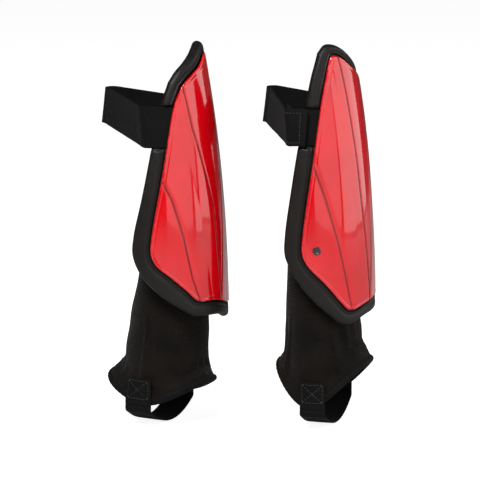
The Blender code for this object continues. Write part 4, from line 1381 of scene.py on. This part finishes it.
def make_camera(looks):
    data = bpy.data.cameras.new("camera")
    data.lens = looks.lens
    data.sensor_width = 36
    data.clip_end = 100
    camera = bpy.data.objects.new("camera", data)
    tilt = looks.camera_elevation
    aim = np.array([0.070, 0, 0.1665])
    camera.location = aim + looks.camera_distance * np.array([0, -math.cos(tilt), math.sin(tilt)])
    camera.rotation_euler = (math.pi / 2 - tilt, 0, 0)
    bpy.context.scene.collection.objects.link(camera)
    bpy.context.scene.camera = camera


# ---------------------------------------------------------------- settings


def length_property(name, description, default):
    unit = {"subtype": "DISTANCE", "unit": "LENGTH", "precision": 5}
    return bpy.props.FloatProperty(name=name, description=description, default=default, **unit)


def colour_property(name, description, default):
    return bpy.props.FloatVectorProperty(
        name=name, description=description, default=default, size=3, min=0, max=1, subtype="COLOR"
    )


def factor_property(name, description, default):
    return bpy.props.FloatProperty(
        name=name, description=description, default=default, min=0, max=1, subtype="FACTOR"
    )


class ShellLooks(bpy.types.PropertyGroup):
    colour: colour_property("Colour", "The moulding's own colour", (0.70, 0.0, 0.005))
    roughness: factor_property("Roughness", "Roughness under the clear coat", 0.12)
    coat: factor_property("Coat", "Weight of the clear gloss coat", 1.0)
    crease_depth: length_property("Crease depth", "Depth of the two long creases", 0.6 * MM)
    crease_width: length_property("Crease width", "Width of the two long creases", 1.3 * MM)
    band_depth: length_property("Band depth", "Depth of the pressed bands' steep side", 1.4 * MM)


class FoamLooks(bpy.types.PropertyGroup):
    colour: colour_property("Colour", "The foam skin's colour", (0.0075, 0.0062, 0.0055))
    roughness: factor_property("Roughness", "The foam skin's roughness", 0.42)
    bead_depth: length_property("Bead depth", "How far the bead lies under the shell's face", 0.5 * MM)


class KnitLooks(bpy.types.PropertyGroup):
    colour: colour_property("Colour", "The knit's colour", (0.0068, 0.0055, 0.0046))
    sheen: factor_property("Sheen", "Weight of the knit's sheen", 0.08)
    course_pitch: length_property("Course pitch", "Height of one knitted rib", 1.4 * MM)
    wale_pitch: length_property("Wale pitch", "Width of one column of stitches", 1.0 * MM)
    fold_height: length_property("Fold height", "Half the height of the soft folds", 0.35 * MM)
    slack_limit: length_property("Slack limit", "The most that the settled knit may move", 2.0 * MM)


class WebbingLooks(bpy.types.PropertyGroup):
    colour: colour_property("Colour", "The webbing's colour", (0.0042, 0.0042, 0.0044))
    rib_pitch: length_property("Rib pitch", "Width of one woven rib", 0.9 * MM)
    sheen: factor_property("Sheen", "Weight of the webbing's sheen", 0.02)


class StitchLooks(bpy.types.PropertyGroup):
    colour: colour_property("Colour", "The thread's colour", (0.005, 0.0048, 0.0048))


class StageLooks(bpy.types.PropertyGroup):
    ambient: factor_property("Ambient", "Strength of the air's even light", 0.07)
    floor_glow: factor_property("Floor glow", "Light that the floor gives to the camera alone", 0.9)
    lens: bpy.props.FloatProperty(
        name="Lens", description="The camera's focal length in millimetres", default=206.04
    )
    camera_distance: length_property("Camera distance", "From the camera to its aim", 2.5)
    camera_elevation: bpy.props.FloatProperty(
        name="Camera elevation",
        description="Angle of the camera above level",
        default=math.radians(10),
        subtype="ANGLE",
    )


SETTINGS = {
    "guard_shell": ShellLooks,
    "guard_foam": FoamLooks,
    "guard_knit": KnitLooks,
    "guard_webbing": WebbingLooks,
    "guard_stitching": StitchLooks,
    "guard_stage": StageLooks,
}


# ---------------------------------------------------------------- operators


def strap_webbing():
    found = bpy.data.materials.get("strap_webbing")
    if found:
        return found
    looks = bpy.context.scene.guard_webbing
    return woven("strap_webbing", tuple(looks.colour), looks.rib_pitch, 1.6 * MM, looks.sheen)


class GUARD_OT_shells(bpy.types.Operator):
    """Makes both moulded shells"""

    bl_idname = "shin_guard.shells"
    bl_label = "Shells"

    def execute(self, context):
        material = gloss_shell()
        for guard in both_guards():
            make_shell(guard, material)
        return {"FINISHED"}


class GUARD_OT_studs(bpy.types.Operator):
    """Makes the stud on each shell's outer side"""

    bl_idname = "shin_guard.studs"
    bl_label = "Studs"

    def execute(self, context):
        material = dark_stud()
        for guard in both_guards():
            make_stud(guard, material)
        return {"FINISHED"}


class GUARD_OT_foam(bpy.types.Operator):
    """Makes the foam surrounds"""

    bl_idname = "shin_guard.foam"
    bl_label = "Foam surrounds"

    def execute(self, context):
        material = closed_foam()
        for guard in both_guards():
            make_foam(guard, material)
        return {"FINISHED"}


class GUARD_OT_linings(bpy.types.Operator):
    """Makes the lining cloths and the sleeves' sewn seams"""

    bl_idname = "shin_guard.linings"
    bl_label = "Linings"

    def execute(self, context):
        material = brushed_lining()
        thread = bpy.data.materials.get("sewing_thread") or sewing_thread()
        for guard in both_guards():
            make_lining(guard, material)
            stitch_pad(guard, make_seam(guard, material), thread)
        return {"FINISHED"}


class GUARD_OT_straps(bpy.types.Operator):
    """Makes the calf straps and their closures"""

    bl_idname = "shin_guard.straps"
    bl_label = "Calf straps"

    def execute(self, context):
        webbing = strap_webbing()
        hooks = hook_and_loop("hook_tape", 0.0009, (0.03, 0.03, 0.032), 0.0003)
        loops = hook_and_loop("loop_tape", 0.0006, (0.035, 0.035, 0.037), 0.0002)
        thread = bpy.data.materials.get("sewing_thread") or sewing_thread()
        for guard in both_guards():
            make_calf_webbing(guard, webbing)
            tab = make_closure(guard, webbing, hooks, loops)
            stitch_tab(guard, tab, thread)
        return {"FINISHED"}


class GUARD_OT_sleeves(bpy.types.Operator):
    """Makes the knitted ankle sleeves and their bound hems"""

    bl_idname = "shin_guard.sleeves"
    bl_label = "Ankle sleeves"

    def execute(self, context):
        knit = knitted()
        for guard in both_guards():
            make_sleeve(guard, knit)
            make_binding(guard, strap_webbing())
        return {"FINISHED"}


class GUARD_OT_stirrups(bpy.types.Operator):
    """Makes the stirrups, their sewn ends and the hem's stitching"""

    bl_idname = "shin_guard.stirrups"
    bl_label = "Stirrups"

    def execute(self, context):
        thread = bpy.data.materials.get("sewing_thread") or sewing_thread()
        for guard in both_guards():
            make_stirrup_patches(guard, strap_webbing())
            make_stirrup(guard, strap_webbing())
            stitch_sleeve(guard, thread)
        return {"FINISHED"}


class GUARD_OT_stage(bpy.types.Operator):
    """Makes the floor, the lights and the camera"""

    bl_idname = "shin_guard.stage"
    bl_label = "Stage"

    def execute(self, context):
        looks = context.scene.guard_stage
        context.scene.view_settings.view_transform = "Standard"
        make_floor(-0.0004, 20.0, looks.floor_glow)
        make_world(looks.ambient)
        make_area_light("front_softbox", (1.35, -2.75, 0.8), (0.07, 0, 0.3), (3.2, 1.65), 17)
        make_area_light("side_softbox", (2.0, -0.1, 0.8), (0.07, 0, 0.3), (2.5, 1.6), 20)
        make_area_light("key_softbox", (-0.5, -1.3, 1.9), (0.07, 0, 0.15), (0.9, 0.7), 50)
        make_camera(looks)
        return {"FINISHED"}


OPERATORS = (
    GUARD_OT_shells,
    GUARD_OT_studs,
    GUARD_OT_foam,
    GUARD_OT_linings,
    GUARD_OT_straps,
    GUARD_OT_sleeves,
    GUARD_OT_stirrups,
    GUARD_OT_stage,
)


class GUARD_PT_maker(bpy.types.Panel):
    """Lists the guards' settings and makers"""

    bl_idname = "GUARD_PT_maker"
    bl_label = "Shin guards"
    bl_space_type = "VIEW_3D"
    bl_region_type = "UI"
    bl_category = "Shin guards"

    def draw(self, context):
        for name in SETTINGS:
            box = self.layout.box()
            looks = getattr(context.scene, name)
            for key in looks.__annotations__:
                box.prop(looks, key)
        for operator in OPERATORS:
            self.layout.operator(operator.bl_idname)


def register():
    for name, group in SETTINGS.items():
        bpy.utils.register_class(group)
        setattr(bpy.types.Scene, name, bpy.props.PointerProperty(type=group))
    for made in (*OPERATORS, GUARD_PT_maker):
        bpy.utils.register_class(made)


def unregister():
    for made in (GUARD_PT_maker, *reversed(OPERATORS)):
        bpy.utils.unregister_class(made)
    for name, group in SETTINGS.items():
        delattr(bpy.types.Scene, name)
        bpy.utils.unregister_class(group)


def main():
    register()
    for operator in OPERATORS:
        family, name = operator.bl_idname.split(".")
        getattr(getattr(bpy.ops, family), name)()


if __name__ == "__main__":
    main()
